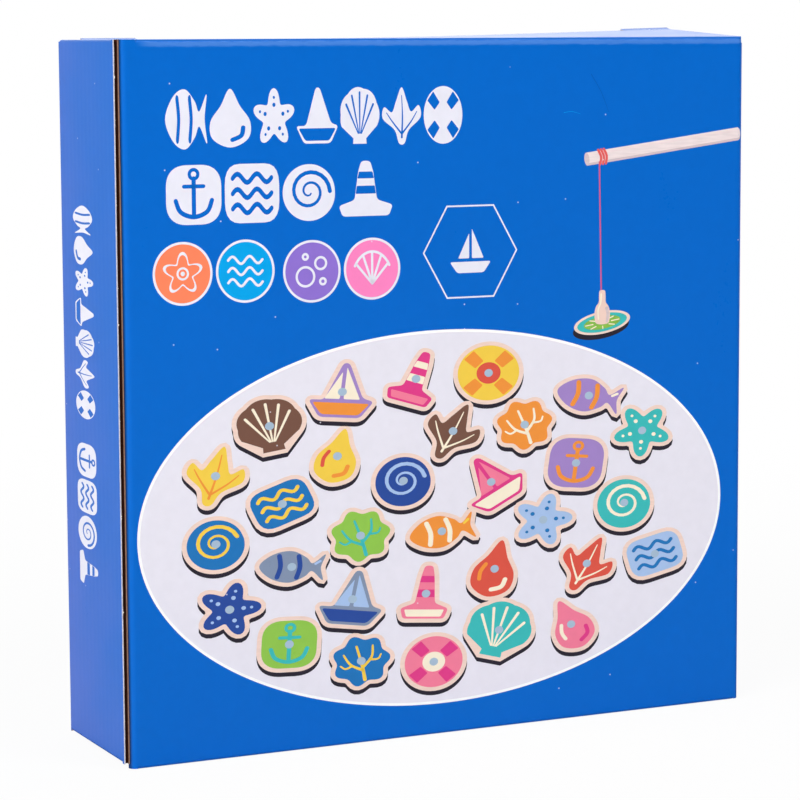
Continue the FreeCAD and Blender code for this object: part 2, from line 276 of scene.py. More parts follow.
class Shader:
    """A node tree of a material or the world, built by one method and the operators of Wire."""

    def __init__(self, owner: bpy.types.Material | bpy.types.World) -> None:
        """Empties the owner's node tree.

        Args:
            owner: A material or a world.
        """
        owner.use_nodes = True
        self.owner = owner
        self.tree = owner.node_tree
        self.tree.nodes.clear()

    @classmethod
    def named(cls, name: str) -> "Shader":
        """Starts a new material."""
        return cls(bpy.data.materials.new(name))

    def add(
        self,
        kind: str,
        settings: dict[str, object] | None = None,
        inputs: dict[int | str, object] | None = None,
        output: int | str = 0,
    ) -> Wire:
        """Adds a node.

        Args:
            kind: The node's type.
            settings: Its own settings, which are set before its sockets.
            inputs: Numbers, colours or wires, by socket name or number.
            output: The output that is wanted.

        Returns:
            That output.
        """
        node = self.tree.nodes.new(kind)
        for key, value in (settings or {}).items():
            setattr(node, key, value)
        for key, value in (inputs or {}).items():
            if isinstance(value, Wire):
                self.tree.links.new(value.socket, node.inputs[key])
            else:
                node.inputs[key].default_value = value
        return Wire(self, node.outputs[output])

    def split(self, vector: Wire) -> tuple[Wire, Wire, Wire]:
        """The three parts of a vector."""
        parts = [self.add("ShaderNodeSeparateXYZ", inputs={0: vector}, output=i) for i in range(3)]
        return parts[0], parts[1], parts[2]

    def place(self) -> tuple[Wire, Wire, Wire, Wire]:
        """The rest place of a point.

        Returns:
            The place as a vector in metres, and its three parts in millimetres.
        """
        where = self.add("ShaderNodeTexCoord", output="Object")
        x, y, z = self.split(where)
        return where, x * (1 / MM), y * (1 / MM), z * (1 / MM)

    def facing(self) -> tuple[Wire, Wire, Wire]:
        """The three parts of the surface's normal in the object's own frame."""
        return self.split(self.add("ShaderNodeTexCoord", output="Normal"))

    def flutes(self) -> Wire:
        """The waves of the upright flutes, across whichever panel the point is on.

        Returns:
            A wave between -1 and 1.
        """
        _, x, y, _ = self.place()
        sideways = abs(self.facing()[0])
        turn = 2 * math.pi / BOARD.flute_pitch
        return (x * turn).sine() * (1.0 - sideways) + (y * turn).sine() * sideways

    def ray(self, kind: str) -> Wire:
        """1 for one kind of ray and 0 for the others."""
        return self.add("ShaderNodeLightPath", output=f"Is {kind} Ray")

    def noise(self, where: Wire, scale: float, detail: float = 3.0) -> Wire:
        """Smooth noise about a half, with a scale in periods per metre."""
        inputs = {"Vector": where, "Scale": scale, "Detail": detail}
        return self.add("ShaderNodeTexNoise", inputs=inputs)

    def stretched(self, where: Wire, factors: tuple[float, float, float]) -> Wire:
        """A vector with its three parts scaled, for grain that runs one way."""
        return self.add("ShaderNodeVectorMath", {"operation": "MULTIPLY"}, {0: where, 1: factors})

    def mix(self, mask: Wire, below: object, above: object) -> Wire:
        """Mixes two colours by a mask: the first where it is 0 and the second where it is 1."""
        return self.add("ShaderNodeMix", {"data_type": "RGBA"}, {0: mask, 6: below, 7: above}, output=2)

    def shaded(self, colour: object, amount: Wire) -> Wire:
        """A colour made darker or lighter by a factor near 1."""
        plain = colour if isinstance(colour, Wire) else colour[:3]
        return self.add("ShaderNodeVectorMath", {"operation": "SCALE"}, {0: plain, "Scale": amount})

    def finish(self, colour: Wire, rough: Wire, height: Wire, ior: float) -> bpy.types.Material:
        """Closes the material with one surface shader.

        Args:
            colour: The base colour.
            rough: The roughness.
            height: The relief in millimetres.
            ior: The refractive index of the surface film.

        Returns:
            The material.
        """
        bump = self.add(
            "ShaderNodeBump", inputs={"Strength": 1.0, "Distance": MM, "Height": height}
        )
        surface = self.add(
            "ShaderNodeBsdfPrincipled",
            inputs={"Base Color": colour, "Roughness": rough, "Normal": bump, "IOR": ior},
        )
        return self.close(surface)

    def close(self, surface: Wire, kind: str = "ShaderNodeOutputMaterial") -> bpy.types.ID:
        """Links the finished surface to the output.

        Args:
            surface: The surface shader, or the world's background.
            kind: The output node's type.

        Returns:
            The tree's owner.
        """
        out = self.tree.nodes.new(kind)
        self.tree.links.new(surface.socket, out.inputs["Surface"])
        return self.owner


@dataclass(frozen=True)
class PrintFilm:
    """The printed sheet's satin film: its gloss, fine texture, rub marks and dust.

    Heights are in millimetres and the scales of patterns in periods per metre. Mottle and cloud
    are how far the tone swings. The specks lie in cells, so many along each block of a length in
    millimetres, and the chance is the share of cells that have none.
    """

    roughness: float = 0.30
    rubbing: float = 0.09
    rubbing_scale: float = 55.0
    graininess: float = 0.06
    grain_scale: float = 900.0
    ior: float = 1.24
    washboard: float = 0.004
    texture: float = 0.0016
    texture_scale: float = 2600.0
    wave: float = 0.05
    wave_scale: float = 14.0
    mottle: float = 0.07
    mottle_scale: float = 320.0
    cloud: float = 0.05
    cloud_scale: float = 9.0
    speck_block: float = 50.0
    specks_along: float = 3.0
    speck_radius: float = 0.013
    speck_softness: float = 0.006
    speck_chance: float = 0.8
    speck_strength: float = 0.7

    def roughened(self, shader: Shader, where: Wire) -> Wire:
        """The film's roughness, with faint rub marks.

        Args:
            shader: The material in the making.
            where: The place in metres.

        Returns:
            The roughness.
        """
        rub = shader.noise(shader.stretched(where, (1.0, 1.0, 0.3)), self.rubbing_scale, 5.0)
        fine = shader.noise(where, self.grain_scale, 2.0)
        return self.roughness + rub.swing(self.rubbing) + fine.swing(self.graininess)

    def relief(self, shader: Shader, where: Wire) -> Wire:
        """The film's relief: the flutes under it, the paper's texture and slow waves.

        Args:
            shader: The material in the making.
            where: The place in metres.

        Returns:
            The height in millimetres.
        """
        texture = shader.noise(where, self.texture_scale, 2.0)
        waves = shader.noise(where, self.wave_scale, 1.0)
        return shader.flutes() * self.washboard + texture * self.texture + waves * self.wave

    def specks(self, shader: Shader) -> Wire:
        """The mask of the dust: one speck in some cells of a flat grid that lies on each face.

        Args:
            shader: The material in the making.

        Returns:
            The mask.
        """
        _, x, y, z = shader.place()
        steep = 0.7
        level = abs(shader.facing()[2]).over(steep, 0.01)
        along, up = x + y * (1.0 - level), z + (y - z) * level
        step = 1 / self.speck_block
        flat = shader.add("ShaderNodeCombineXYZ", inputs={0: along * step, 1: up * step})
        settings = {"voronoi_dimensions": "2D"}
        inputs = {"Vector": flat, "Scale": self.specks_along, "Randomness": 1.0}
        distance = shader.add("ShaderNodeTexVoronoi", settings, inputs)
        chance = shader.add("ShaderNodeTexVoronoi", settings, inputs, output="Color")
        chosen = shader.split(chance)[0].over(self.speck_chance, 0.01)
        speck = distance.under(self.speck_radius, self.speck_softness)
        return speck * chosen * self.speck_strength

    def dusted(self, shader: Shader, where: Wire, colour: object) -> Wire:
        """A colour with its slight print mottle and a few specks of paper dust.

        Args:
            shader: The material in the making.
            where: The place in metres.
            colour: The plain colour.

        Returns:
            The dusted colour.
        """
        mottle = shader.noise(where, self.mottle_scale, 4.0)
        cloud = shader.noise(where, self.cloud_scale, 2.0)
        toned = shader.shaded(colour, 1.0 + mottle.swing(self.mottle) + cloud.swing(self.cloud))
        return shader.mix(self.specks(shader), toned, linear(Ink.WHITE.value))

    def closed(self, shader: Shader, where: Wire, colour: Wire) -> bpy.types.Material:
        """Closes a material that is printed all over."""
        rough, height = self.roughened(shader, where), self.relief(shader, where)
        return shader.finish(colour, rough, height, self.ior)


@dataclass(frozen=True)
class InkFinish:
    """One printed colour on the film, with the grain of printed wood where it has one."""

    ink: Ink
    grain: float = 0.0
    film: PrintFilm = PrintFilm()

    def material(self) -> bpy.types.Material:
        """Builds the colour's material.

        Returns:
            A material with the film's gloss and texture.
        """
        shader = Shader.named("print_" + self.ink.name.lower())
        where = shader.place()[0]
        colour = self.film.dusted(shader, where, linear(self.ink.value))
        if self.grain:
            lines = shader.noise(shader.stretched(where, (1.0, 1.0, 9.0)), 160.0, 4.0)
            colour = shader.shaded(colour, 1.0 + lines.swing(self.grain))
        return self.film.closed(shader, where, colour)


@dataclass(frozen=True)
class CreaseFinish:
    """The print over a sharp crease, with a pale painted highlight along the bend.

    The painted highlight lies between a low and a high depth below the box's top, has ragged edges
    and starts some way along the crease, all in millimetres.
    """

    scuffed: str = "4784DA"
    low: float = 2.1
    high: float = 0.75
    ragged: float = 0.9
    clean_start: float = 2.5
    film: PrintFilm = PrintFilm()

    def material(self) -> bpy.types.Material:
        """Builds the finish of the crease's strip.

        Returns:
            The panel's blue with a pale, uneven painted highlight along the bend.
        """
        film = self.film
        shader = Shader.named("print_crease")
        where, x, _, z = shader.place()
        blue = film.dusted(shader, where, linear(Ink.PANEL_BLUE.value))
        # Painted highlight: a pale band along the bend, with ragged edges and patchy strength.
        highlight_edge_noise = shader.noise(shader.stretched(where, (1.0, 1.0, 4.0)), 300.0, 3.0)
        drop = BOX.height - z + highlight_edge_noise.swing(self.ragged)
        band = drop.under(self.low, 0.45) * drop.over(self.high, 0.3)
        band = band * x.over(BOX.lid_left + self.clean_start, 3.0)
        highlight_patches = 0.6 + shader.noise(where, 90.0, 4.0) * 0.8
        colour = shader.mix(band * highlight_patches.least(1.0), blue, linear(self.scuffed))
        rough = film.roughened(shader, where) + band * 0.1
        return shader.finish(colour, rough, film.relief(shader, where), film.ior)


@dataclass(frozen=True)
class BoardFinish:
    """The folded board: printed outside, brown inside, with its plies showing in cut edges.

    Most masks are soft by one of three widths: a turn of the surface's normal, a fine line and a
    hair line. The margin is how far a mask goes past an edge of the solids, the slack how far one
    falls short of it, and the lid's slope is the rise of its lifted end. Lengths are millimetres.
    """

    paper: str = "D5D0D6"
    liner: str = "957461"
    flute: str = "4A2318"
    kraft: str = "B9936B"
    # The tint and strength of a painted reflection on the left side panel.
    haze: str = "8C80D8"
    haze_strength: float = 0.3
    crevice_shade: float = 0.6
    crevice_depth: float = 0.75
    bare_roughness: float = 0.85
    fuzz_height: float = 0.03
    skin_depth: float = 0.12
    flap_inset: float = 10.0
    tuck_drop: float = 10.0
    tuck_reach: float = 6.0
    film: PrintFilm = PrintFilm()

    TURN = 0.1
    LINE = 0.05
    HAIR = 0.02
    MARGIN = 0.3
    SLACK = 0.04
    LID_SLOPE = 0.054

    def plies(self, shader: Shader, where: Wire, depth: Wire) -> Wire:
        """The colours of a cut edge.

        Args:
            shader: The material in the making.
            where: The place in metres.
            depth: The depth below the printed face, in millimetres.

        Returns:
            White paper, then flutes painted dark as their hollows' shade, then brown liner.
        """
        ragged = depth + shader.noise(where, 420.0, 3.0).swing(0.3)
        core_top, core_end = BOARD.outer_liner, BOARD.outer_liner + BOARD.flute_height
        fibres = 1.0 + shader.noise(where, 1500.0, 3.0).swing(0.7)
        # Painted shade: the fluted core between the liners is dark, for the shade in its hollows.
        dark = shader.mix(ragged.over(core_top, 0.08), linear(self.paper), linear(self.flute))
        plied = shader.mix(ragged.over(core_end, 0.1), dark, linear(self.liner))
        return shader.shaded(plied, fibres)

    def inside(self, shader: Shader, where: Wire) -> Wire:
        """The unprinted liner: brown paper with fibres and the flutes' faint stripes.

        Args:
            shader: The material in the making.
            where: The place in metres.

        Returns:
            The colour.
        """
        fibres = shader.noise(shader.stretched(where, (1.0, 1.0, 0.25)), 1400.0, 4.0)
        cloud = shader.noise(where, 30.0, 3.0)
        amount = 1.0 + shader.flutes() * 0.035 + fibres.swing(0.35) + cloud.swing(0.12)
        return shader.shaded(linear(self.kraft), amount)

    def printed(self, shader: Shader, where: Wire) -> Wire:
        """The panel's blue, with a pale painted reflection low and back on the left side panel.

        Args:
            shader: The material in the making.
            where: The place in metres.

        Returns:
            The colour.
        """
        _, _, y, z = shader.place()
        blue = self.film.dusted(shader, where, linear(Ink.PANEL_BLUE.value))
        to_back = (y - BOX.front) * (1 / BOX.depth)
        downward = 1.0 - z * (1 / BOX.height)
        cloud = shader.noise(where, 40.0, 4.0)
        on_left = shader.facing()[0].under(-0.7, 0.2)
        # Painted reflection: the left side is tinted paler towards its back and its bottom.
        haze = on_left * (to_back * 0.45 + downward * 0.35 + cloud * 0.5 - 0.25)
        return shader.mix(haze.over(0.55, 0.5) * self.haze_strength, blue, linear(self.haze))

    def closed(
        self,
        shader: Shader,
        where: Wire,
        is_print: Wire,
        edge: Wire,
        depth: Wire,
        shade: Wire | float = 0.0,
    ) -> bpy.types.Material:
        """Joins the three looks of the board into its surface.

        Args:
            shader: The material in the making.
            where: The place in metres.
            is_print: 1 on the printed side.
            edge: 1 on a cut edge.
            depth: The depth below the printed face, in millimetres.
            shade: 1 where the print lies in a narrow crevice.

        Returns:
            The material.
        """
        bare = shader.mix(edge, self.inside(shader, where), self.plies(shader, where, depth))
        blue = shader.shaded(self.printed(shader, where), 1.0 - shade * self.crevice_shade)
        colour = shader.mix(is_print, bare, blue)
        is_bare = 1.0 - is_print
        rough = is_print * self.film.roughened(shader, where) + is_bare * self.bare_roughness
        fuzz = shader.noise(where, 1900.0, 3.0) * self.fuzz_height
        height = is_print * self.film.relief(shader, where) + is_bare * fuzz
        return shader.finish(colour, rough, height, self.film.ior)

    def liner_only(self) -> bpy.types.Material:
        """The inside's brown paper by itself.

        Returns:
            The material.
        """
        shader = Shader.named("inner_liner")
        where = shader.place()[0]
        fuzz = shader.noise(where, 1900.0, 3.0)
        rough = self.bare_roughness + fuzz.swing(0.1)
        return shader.finish(self.inside(shader, where), rough, fuzz * self.fuzz_height, self.film.ior)

    @staticmethod
    def wall_depth(x: Wire, y: Wire, left_edge: Wire) -> Wire:
        """How deep a point lies under the printed face of the four walls and their round folds.

        Args:
            x: The point's first part in millimetres.
            y: Its second part.
            left_edge: Where the printed face of the left wall is.

        Returns:
            The depth in millimetres.
        """
        radius = BOARD.fold_radius
        to_side = (x - left_edge).least(BOX.right - x)
        to_face = (y - BOX.front).least(BOX.back - y)
        none = x * 0.0
        short_x, short_y = (radius - to_side) | none, (radius - to_face) | none
        in_corner = (short_x * short_x + short_y * short_y).root()
        flat = (to_side - radius).least(to_face - radius) | none
        return radius - in_corner + flat

    def carton(self) -> bpy.types.Material:
        """The carton's material, which tells print, cut edges and inside apart by place.

        Returns:
            The material.
        """
        shader = Shader.named("carton_board")
        where, x, y, z = shader.place()
        nx, ny, nz = shader.facing()
        turn, line, hair = self.TURN, self.LINE, self.HAIR
        board, radius = BOARD.thickness, BOARD.fold_radius
        seat = BOX.height - board - BOARD.lid_seat_gap

        # The seam is the side panel's cut edge, and the front's fold stands beside it.
        seam = x.under(BOX.left + board + 0.01, 0.01) * y.under(BOX.front + radius + self.MARGIN, line)
        fold = x.over(BOX.left + board, 0.01) * y.under(BOX.front + radius, line) * x.under(0.0, 1.0)
        core = x.over(BOX.left + BOARD.outer_liner - self.SLACK, hair)
        core = core * x.under(BOX.left + board - BOARD.inner_liner + self.SLACK, hair)
        hollow = seam * core * y.over(BOX.front + BOARD.seam_setback + 0.03, hair)
        seam_face = seam * ny.under(-0.3, turn)
        # Painted shade: the print is darker where the fold starts in the narrow crevice by the seam.
        crevice = fold * y.over(BOX.front + self.crevice_depth, 0.35)

        # Print is on the walls' skins, on the dust flaps and under the bottom.
        upright = abs(nz).under(0.6, turn)
        depth = self.wall_depth(x, y, BOX.left + board * fold)
        skin = depth.under(self.skin_depth, self.SLACK) * upright * (1.0 - seam)
        side_skin = (x - BOX.left).under(0.05, 0.03) * nx.under(-0.6, turn)
        inner = abs(y).under(BOX.back - board - self.MARGIN, 0.1)
        flap_top = nz.over(0.3, turn) * z.over(seat - board - 0.4, 0.1) * inner
        bottom = nz.under(-0.25, turn) * z.under(radius + 3.0, 0.1)
        is_print = (skin | side_skin | flap_top | bottom) * (1.0 - seam_face) * (1.0 - hollow)

        # Plies show in the seam, along the walls' tops and round the dust flaps' free ends.
        cut_top = nz.over(0.6, turn) * z.over(seat - 1.0, 0.1) * (1.0 - inner)
        flap_end = abs(x).under(BOX.right - self.flap_inset, 0.5) * inner * upright
        flap_edge = flap_end * z.over(seat - board - 0.5, 0.1)
        edge = seam_face | cut_top | flap_edge | hollow
        by_seam = seam * ((x - BOX.left) * (1.0 - hollow) + hollow * (board / 2))
        by_flap = flap_edge * (seat - z)
        by_wall = (1.0 - (seam | flap_edge)) * depth
        return self.closed(shader, where, is_print, edge, by_seam + by_flap + by_wall, crevice)

    def lid(self) -> bpy.types.Material:
        """The lid's material, made in the same way from its own folds.

        Returns:
            The material.
        """
        shader = Shader.named("lid_board")
        where, x, y, z = shader.place()
        nx, ny, nz = shader.facing()
        turn, board = self.TURN, BOARD.thickness
        slit_left, slit_right = BOX.lid_left + BOARD.slit_length, BOX.lid_right - BOARD.slit_length
        lifted = x.over(slit_right, 1.0) * (y - BOX.front) * self.LID_SLOPE
        drop = BOX.height - z + lifted
        across = abs(nx).under(0.6, turn)
        top = nz.over(0.25, turn) * drop.under(board + 3.0, 0.3)
        crease = ny.under(-0.25, turn) * y.under(BOX.front + board + self.MARGIN, 0.1)
        tuck = ny.over(0.4, turn) * y.over(BOX.back - 3 * board - self.tuck_reach, 0.1)
        in_slit = x.under(slit_left, self.HAIR) | x.over(slit_right, self.HAIR)
        tab_cut = in_slit * ny.over(0.6, turn) * drop.under(board + 0.1, self.LINE)
        free_edge = nz.under(-0.8, 0.05) * drop.over(self.tuck_drop, 0.5)
        is_print = (top | crease | tuck) * across * (1.0 - tab_cut)
        edge = (1.0 - across) | tab_cut | free_edge
        return self.closed(shader, where, is_print, edge, drop.least(board))


def signed_area(loop: Loop) -> float:
    """Twice a loop's area, which is positive where the loop runs anticlockwise."""
    return sum(a[0] * b[1] - b[0] * a[1] for a, b in zip(loop, loop[1:] + loop[:1]))


def weighted(points: Loop, weights: Sequence[float]) -> Point:
    """The sum of some points, each times its weight."""
    pairs = list(zip(points, weights))
    return sum(p[0] * share for p, share in pairs), sum(p[1] * share for p, share in pairs)


class Shape:
    """A flat outline in millimetres, with any holes after it, all as closed loops.

    A corner's round takes up at most a share of the sides beside it, and a pushed out point stays
    when it is nearly the whole push away from the loop.
    """

    MOST_OF_SIDE = 0.45
    NEARLY = 0.96

    def __init__(self, loops: Sequence[Loop]) -> None:
        """Holds the outer loop first and then the holes."""
        self.loops = [list(loop) for loop in loops]

    @classmethod
    def oval(cls, half_u: float, half_v: float, steps: int = 48) -> "Shape":
        """An ellipse about the origin."""
        angles = [2 * math.pi * i / steps for i in range(steps)]
        return cls([[(half_u * math.cos(a), half_v * math.sin(a)) for a in angles]])

    @classmethod
    def band(cls, outer: float, inner: float, steps: int = 64) -> "Shape":
        """A flat ring about the origin."""
        return cls([cls.oval(outer, outer, steps).loops[0], cls.oval(inner, inner, steps).loops[0]])

    @classmethod
    def polar(cls, radius: Callable[[float], float], steps: int = 72) -> "Shape":
        """An outline whose radius is a function of its angle."""
        angles = [2 * math.pi * i / steps for i in range(steps)]
        return cls([[(radius(a) * math.cos(a), radius(a) * math.sin(a)) for a in angles]])

    @classmethod
    def smooth(cls, knots: Loop, steps: int = 6) -> "Shape":
        """A closed curve through a few points."""
        return cls([through(knots + knots[:3], steps)[:-1]])

    @classmethod
    def stroke(cls, path: Loop, width: float, tip: float | None = None) -> "Shape":
        """A line with round ends.

        Args:
            path: The points along its middle.
            width: Its width at the start.
            tip: Its width at the end, if it tapers.

        Returns:
            The line's outline.
        """
        count = len(path)
        end_width = width if tip is None else tip
        one_side, other_side = [], []
        for i, (u, v) in enumerate(path):
            before, after = path[max(i - 1, 0)], path[min(i + 1, count - 1)]
            du, dv = after[0] - before[0], after[1] - before[1]
            length = math.hypot(du, dv) or 1.0
            half = (width + (end_width - width) * i / (count - 1)) / 2
            nu, nv = -dv / length * half, du / length * half
            one_side.append((u + nu, v + nv))
            other_side.append((u - nu, v - nv))
        end_cap = cls.cap(one_side[-1], other_side[-1])
        start_cap = cls.cap(other_side[0], one_side[0])
        return cls([one_side + end_cap + other_side[::-1] + start_cap])

    @staticmethod
    def cap(first: Point, last: Point, steps: int = 5) -> Loop:
        """The points of a half circle, clockwise.

        Args:
            first: Where it starts.
            last: Where it ends.
            steps: The number of its chords.

        Returns:
            The points between the two ends.
        """
        cu, cv = (first[0] + last[0]) / 2, (first[1] + last[1]) / 2
        radius = math.hypot(first[0] - cu, first[1] - cv)
        start = math.atan2(first[1] - cv, first[0] - cu)
        angles = [start - math.pi * i / steps for i in range(1, steps)]
        return [(cu + radius * math.cos(a), cv + radius * math.sin(a)) for a in angles]

    @classmethod
    def blunt(cls, corners: Loop, radius: float) -> "Shape":
        """A polygon whose corners are round.

        Args:
            corners: Its corners.
            radius: How far from a corner its round starts.

        Returns:
            The outline.
        """
        loop = []
        steps = 5
        for i, corner in enumerate(corners):
            ends = []
            for other in (corners[i - 1], corners[(i + 1) % len(corners)]):
                length = math.dist(corner, other)
                share = min(radius, length * cls.MOST_OF_SIDE) / length
                ends.append(weighted([corner, other], (1 - share, share)))
            for k in range(steps + 1):
                s = k / steps
                weights = ((1 - s) ** 2, 2 * s * (1 - s), s**2)
                loop.append(weighted([ends[0], corner, ends[1]], weights))
        return cls([loop])

    def mapped(self, move: Callable[[float, float], Point]) -> "Shape":
        """The outline with each point moved by a function."""
        return Shape([[move(u, v) for u, v in loop] for loop in self.loops])

    def at(self, u: float, v: float) -> "Shape":
        """The outline moved aside."""
        return self.mapped(lambda a, b: (a + u, b + v))

    def sized(self, across: float, up: float | None = None) -> "Shape":
        """The outline scaled about the origin."""
        tall = across if up is None else up
        return self.mapped(lambda a, b: (a * across, b * tall))

    def turned(self, degrees: float) -> "Shape":
        """The outline turned about the origin."""
        c, s = math.cos(math.radians(degrees)), math.sin(math.radians(degrees))
        return self.mapped(lambda a, b: (a * c - b * s, a * s + b * c))

    def grown(self, distance: float) -> "Shape":
        """The outer loop pushed outwards, without its holes.

        Points that come too near to the loop elsewhere are left out, so that a notch is bridged.

        Args:
            distance: How far the loop is pushed.

        Returns:
            The wider outline.
        """
        loop = self.loops[0]
        sign = 1 if signed_area(loop) > 0 else -1
        wider = []
        for i, (u, v) in enumerate(loop):
            before, after = loop[i - 1], loop[(i + 1) % len(loop)]
            du, dv = after[0] - before[0], after[1] - before[1]
            length = math.hypot(du, dv) or 1.0
            moved = (u + sign * dv / length * distance, v - sign * du / length * distance)
            if min(math.dist(moved, point) for point in loop) > self.NEARLY * distance:
                wider.append(moved)
        return Shape([wider])


def through(knots: Loop, steps: int) -> Loop:
    """Points on a smooth curve between the second and the last but one of some knots.

    Args:
        knots: The points that the curve passes or aims at.
        steps: Points for each stretch.

    Returns:
        The curve's points, ends included.
    """
    points = []
    for i in range(1, len(knots) - 2):
        for k in range(steps):
            s = k / steps
            weights = (
                (-s + 2 * s**2 - s**3) / 2,
                (2 - 5 * s**2 + 3 * s**3) / 2,
                (s + 4 * s**2 - 3 * s**3) / 2,
                (s**3 - s**2) / 2,
            )
            points.append(weighted(knots[i - 1 : i + 3], weights))
    points.append(knots[-2])
    return points


def curve(knots: Loop, steps: int = 6) -> Loop:
    """Points on an open smooth curve through all of some knots."""
    return through([knots[0], *knots, knots[-1]], steps)


def wavy(half: float, height: float, v: float, steps: int) -> Loop:
    """Points along a level line with two waves.

    Args:
        half: Half the line's length.
        height: How far the waves rise.
        v: How high the line lies.
        steps: The number of its stretches.

    Returns:
        The points.
    """
    turn = 4 * math.pi / steps
    return [(half * (2 * i / steps - 1), v + height * math.sin(turn * i)) for i in range(steps + 1)]


def spread(count: int, reach: Point, apart: Point, chance: random.Random) -> Loop:
    """Scatters places evenly over an oval about the origin.

    Args:
        count: How many places are wanted.
        reach: The oval's half width and half height.
        apart: How far apart two places should be, along and up.
        chance: The source of the scatter.

    Returns:
        The places.
    """
    places = []
    golden_turn, jitter, rounds = 2.4, 0.4, 300
    for k in range(count):
        far, angle = math.sqrt((k + 0.5) / count), golden_turn * k + chance.uniform(-jitter, jitter)
        places.append([reach[0] * far * math.cos(angle), reach[1] * far * math.sin(angle)])
    for _ in range(rounds):
        for i, one in enumerate(places):
            for other in places[:i]:
                du, dv = (one[0] - other[0]) / apart[0], (one[1] - other[1]) / apart[1]
                near = math.hypot(du, dv)
                if near < 1:
                    push = (1 - near) / (2 * near)
                    for place, sign in ((one, 1), (other, -1)):
                        place[0] += sign * du * push * apart[0]
                        place[1] += sign * dv * push * apart[1]
            far = max(1.0, math.hypot(one[0] / reach[0], one[1] / reach[1]))
            one[:] = [one[0] / far, one[1] / far]
    return [(u, v) for u, v in places]


@dataclass(frozen=True)
class Panel:
    """A flat face of the box as a sheet to print on, with its origin at its lower left corner.

    Beyond flat_end the sheet goes round the upright fold.
    """

    origin: Vector
    along: Vector
    up: Vector
    outward: Vector
    flat_end: float = math.inf
    step: float = 0.006

    def point(self, u: float, v: float, level: float) -> Vector:
        """The place of a point of the sheet.

        Round the fold a flake stands a little prouder, so that its chords don't sink in.

        Args:
            u: How far along the sheet the point is, in millimetres.
            v: How far up.
            level: How many levels of ink it is raised by.

        Returns:
            The place in metres.
        """
        raised = level * self.step
        if u > self.flat_end:
            angle = (u - self.flat_end) / BOARD.fold_radius
            reach = BOARD.fold_radius + raised + 4 * self.step * math.sin(angle)
            u = self.flat_end + reach * math.sin(angle)
            raised = reach * math.cos(angle) - BOARD.fold_radius
        return (self.origin + self.along * u + self.up * v + self.outward * raised) * MM


class PrintSheet:
    """Collects printed shapes on one panel and makes them one thin mesh.

    The lift is the share of a level by which each shape lies above the one before it.
    """

    lift = 0.01

    def __init__(self, name: str, panel: Panel) -> None:
        """Starts an empty sheet.

        Args:
            name: The piece's name.
            panel: The face that carries it.
        """
        self.name = name
        self.panel = panel
        self.items: list[tuple[Shape, Ink, float]] = []

    def add(self, shape: Shape, ink: Ink, level: int = 1) -> None:
        """Adds a shape in a colour, on top of the lower levels and just above the last shape."""
        self.items.append((shape, ink, level + self.lift * len(self.items)))

    def flake(
        self, shape: Shape, level: float, points: list[Vector], faces: list[tuple[int, ...]]
    ) -> None:
        """Adds a shape to a mesh as a closed flake: a top, an underside and upright walls.

        Args:
            shape: The outline with its holes.
            level: How high its top is, in levels of ink.
            points: The mesh's points, which this adds to.
            faces: The mesh's faces, which this adds to.
        """
        base = len(points)
        flat = [point for loop in shape.loops for point in loop]
        count = len(flat)
        for height in (level, 0.0):
            points += [self.panel.point(u, v, height) for u, v in flat]
        loops = [[Vector((u, v, 0.0)) for u, v in loop] for loop in shape.loops]
        for corners in tessellate_polygon(loops):
            area = signed_area([flat[i] for i in corners])
            if abs(area) < 1e-12:
                continue
            top = [base + i for i in (corners if area > 0 else reversed(corners))]
            faces.append(tuple(top))
            faces.append(tuple(i + count for i in reversed(top)))
        for number, loop in enumerate(shape.loops):
            size = len(loop)
            solid_left = (signed_area(loop) > 0) == (number == 0)
            for i in range(size):
                a, b = base + i, base + (i + 1) % size
                wall = (a, a + count, b + count, b)
                faces.append(wall if solid_left else wall[::-1])
            base += size

    def build(self, palette: "Palette") -> bpy.types.Object:
        """Makes the mesh.

        Args:
            palette: The inks' materials.

        Returns:
            The piece, which rides on the carton.
        """
        inks = sorted({ink for _, ink, _ in self.items}, key=lambda ink: ink.name)
        points: list[Vector] = []
        faces: list[tuple[int, ...]] = []
        slots: list[int] = []
        for shape, ink, level in self.items:
            self.flake(shape, level, points, faces)
            slots += [inks.index(ink)] * (len(faces) - len(slots))
        piece = new_piece(self.name, points, faces)
        for ink in inks:
            piece.data.materials.append(palette.material(ink))
        piece.data.polygons.foreach_set("material_index", slots)
        return carried(piece, CARTON)


class Palette:
    """Makes each ink's material once."""

    GRAINED = {Ink.WOOD: 0.22, Ink.ROD: 0.3, Ink.ROD_SHADE: 0.3}

    def __init__(self) -> None:
        """Starts with no material made."""
        self.made: dict[Ink, bpy.types.Material] = {}

    def material(self, ink: Ink) -> bpy.types.Material:
        """The material of an ink.

        Args:
            ink: The ink.

        Returns:
            Its material, which is made when it is first asked for.
        """
        if ink not in self.made:
            self.made[ink] = InkFinish(ink, self.GRAINED.get(ink, 0.0)).material()
        return self.made[ink]


def new_piece(
    name: str, points: Sequence[Vector], faces: Sequence[tuple[int, ...]]
) -> bpy.types.Object:
    """Makes a mesh object and links it to the scene.

    Args:
        name: The piece's name.
        points: Its points in metres.
        faces: Its faces, as numbers of points.

    Returns:
        The piece.
    """
    mesh = bpy.data.meshes.new(name)
    mesh.from_pydata([tuple(p) for p in points], [], faces)
    mesh.update()
    piece = bpy.data.objects.new(name, mesh)
    bpy.context.scene.collection.objects.link(piece)
    return piece


def carried(piece: bpy.types.Object, body: str) -> bpy.types.Object:
    """Makes a piece ride on a body.

    Args:
        piece: The piece.
        body: The body's name.

    Returns:
        The piece.
    """
    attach(piece, body)
    log.info("%s rides on %s, with %d faces", piece.name, body, len(piece.data.polygons))
    return piece


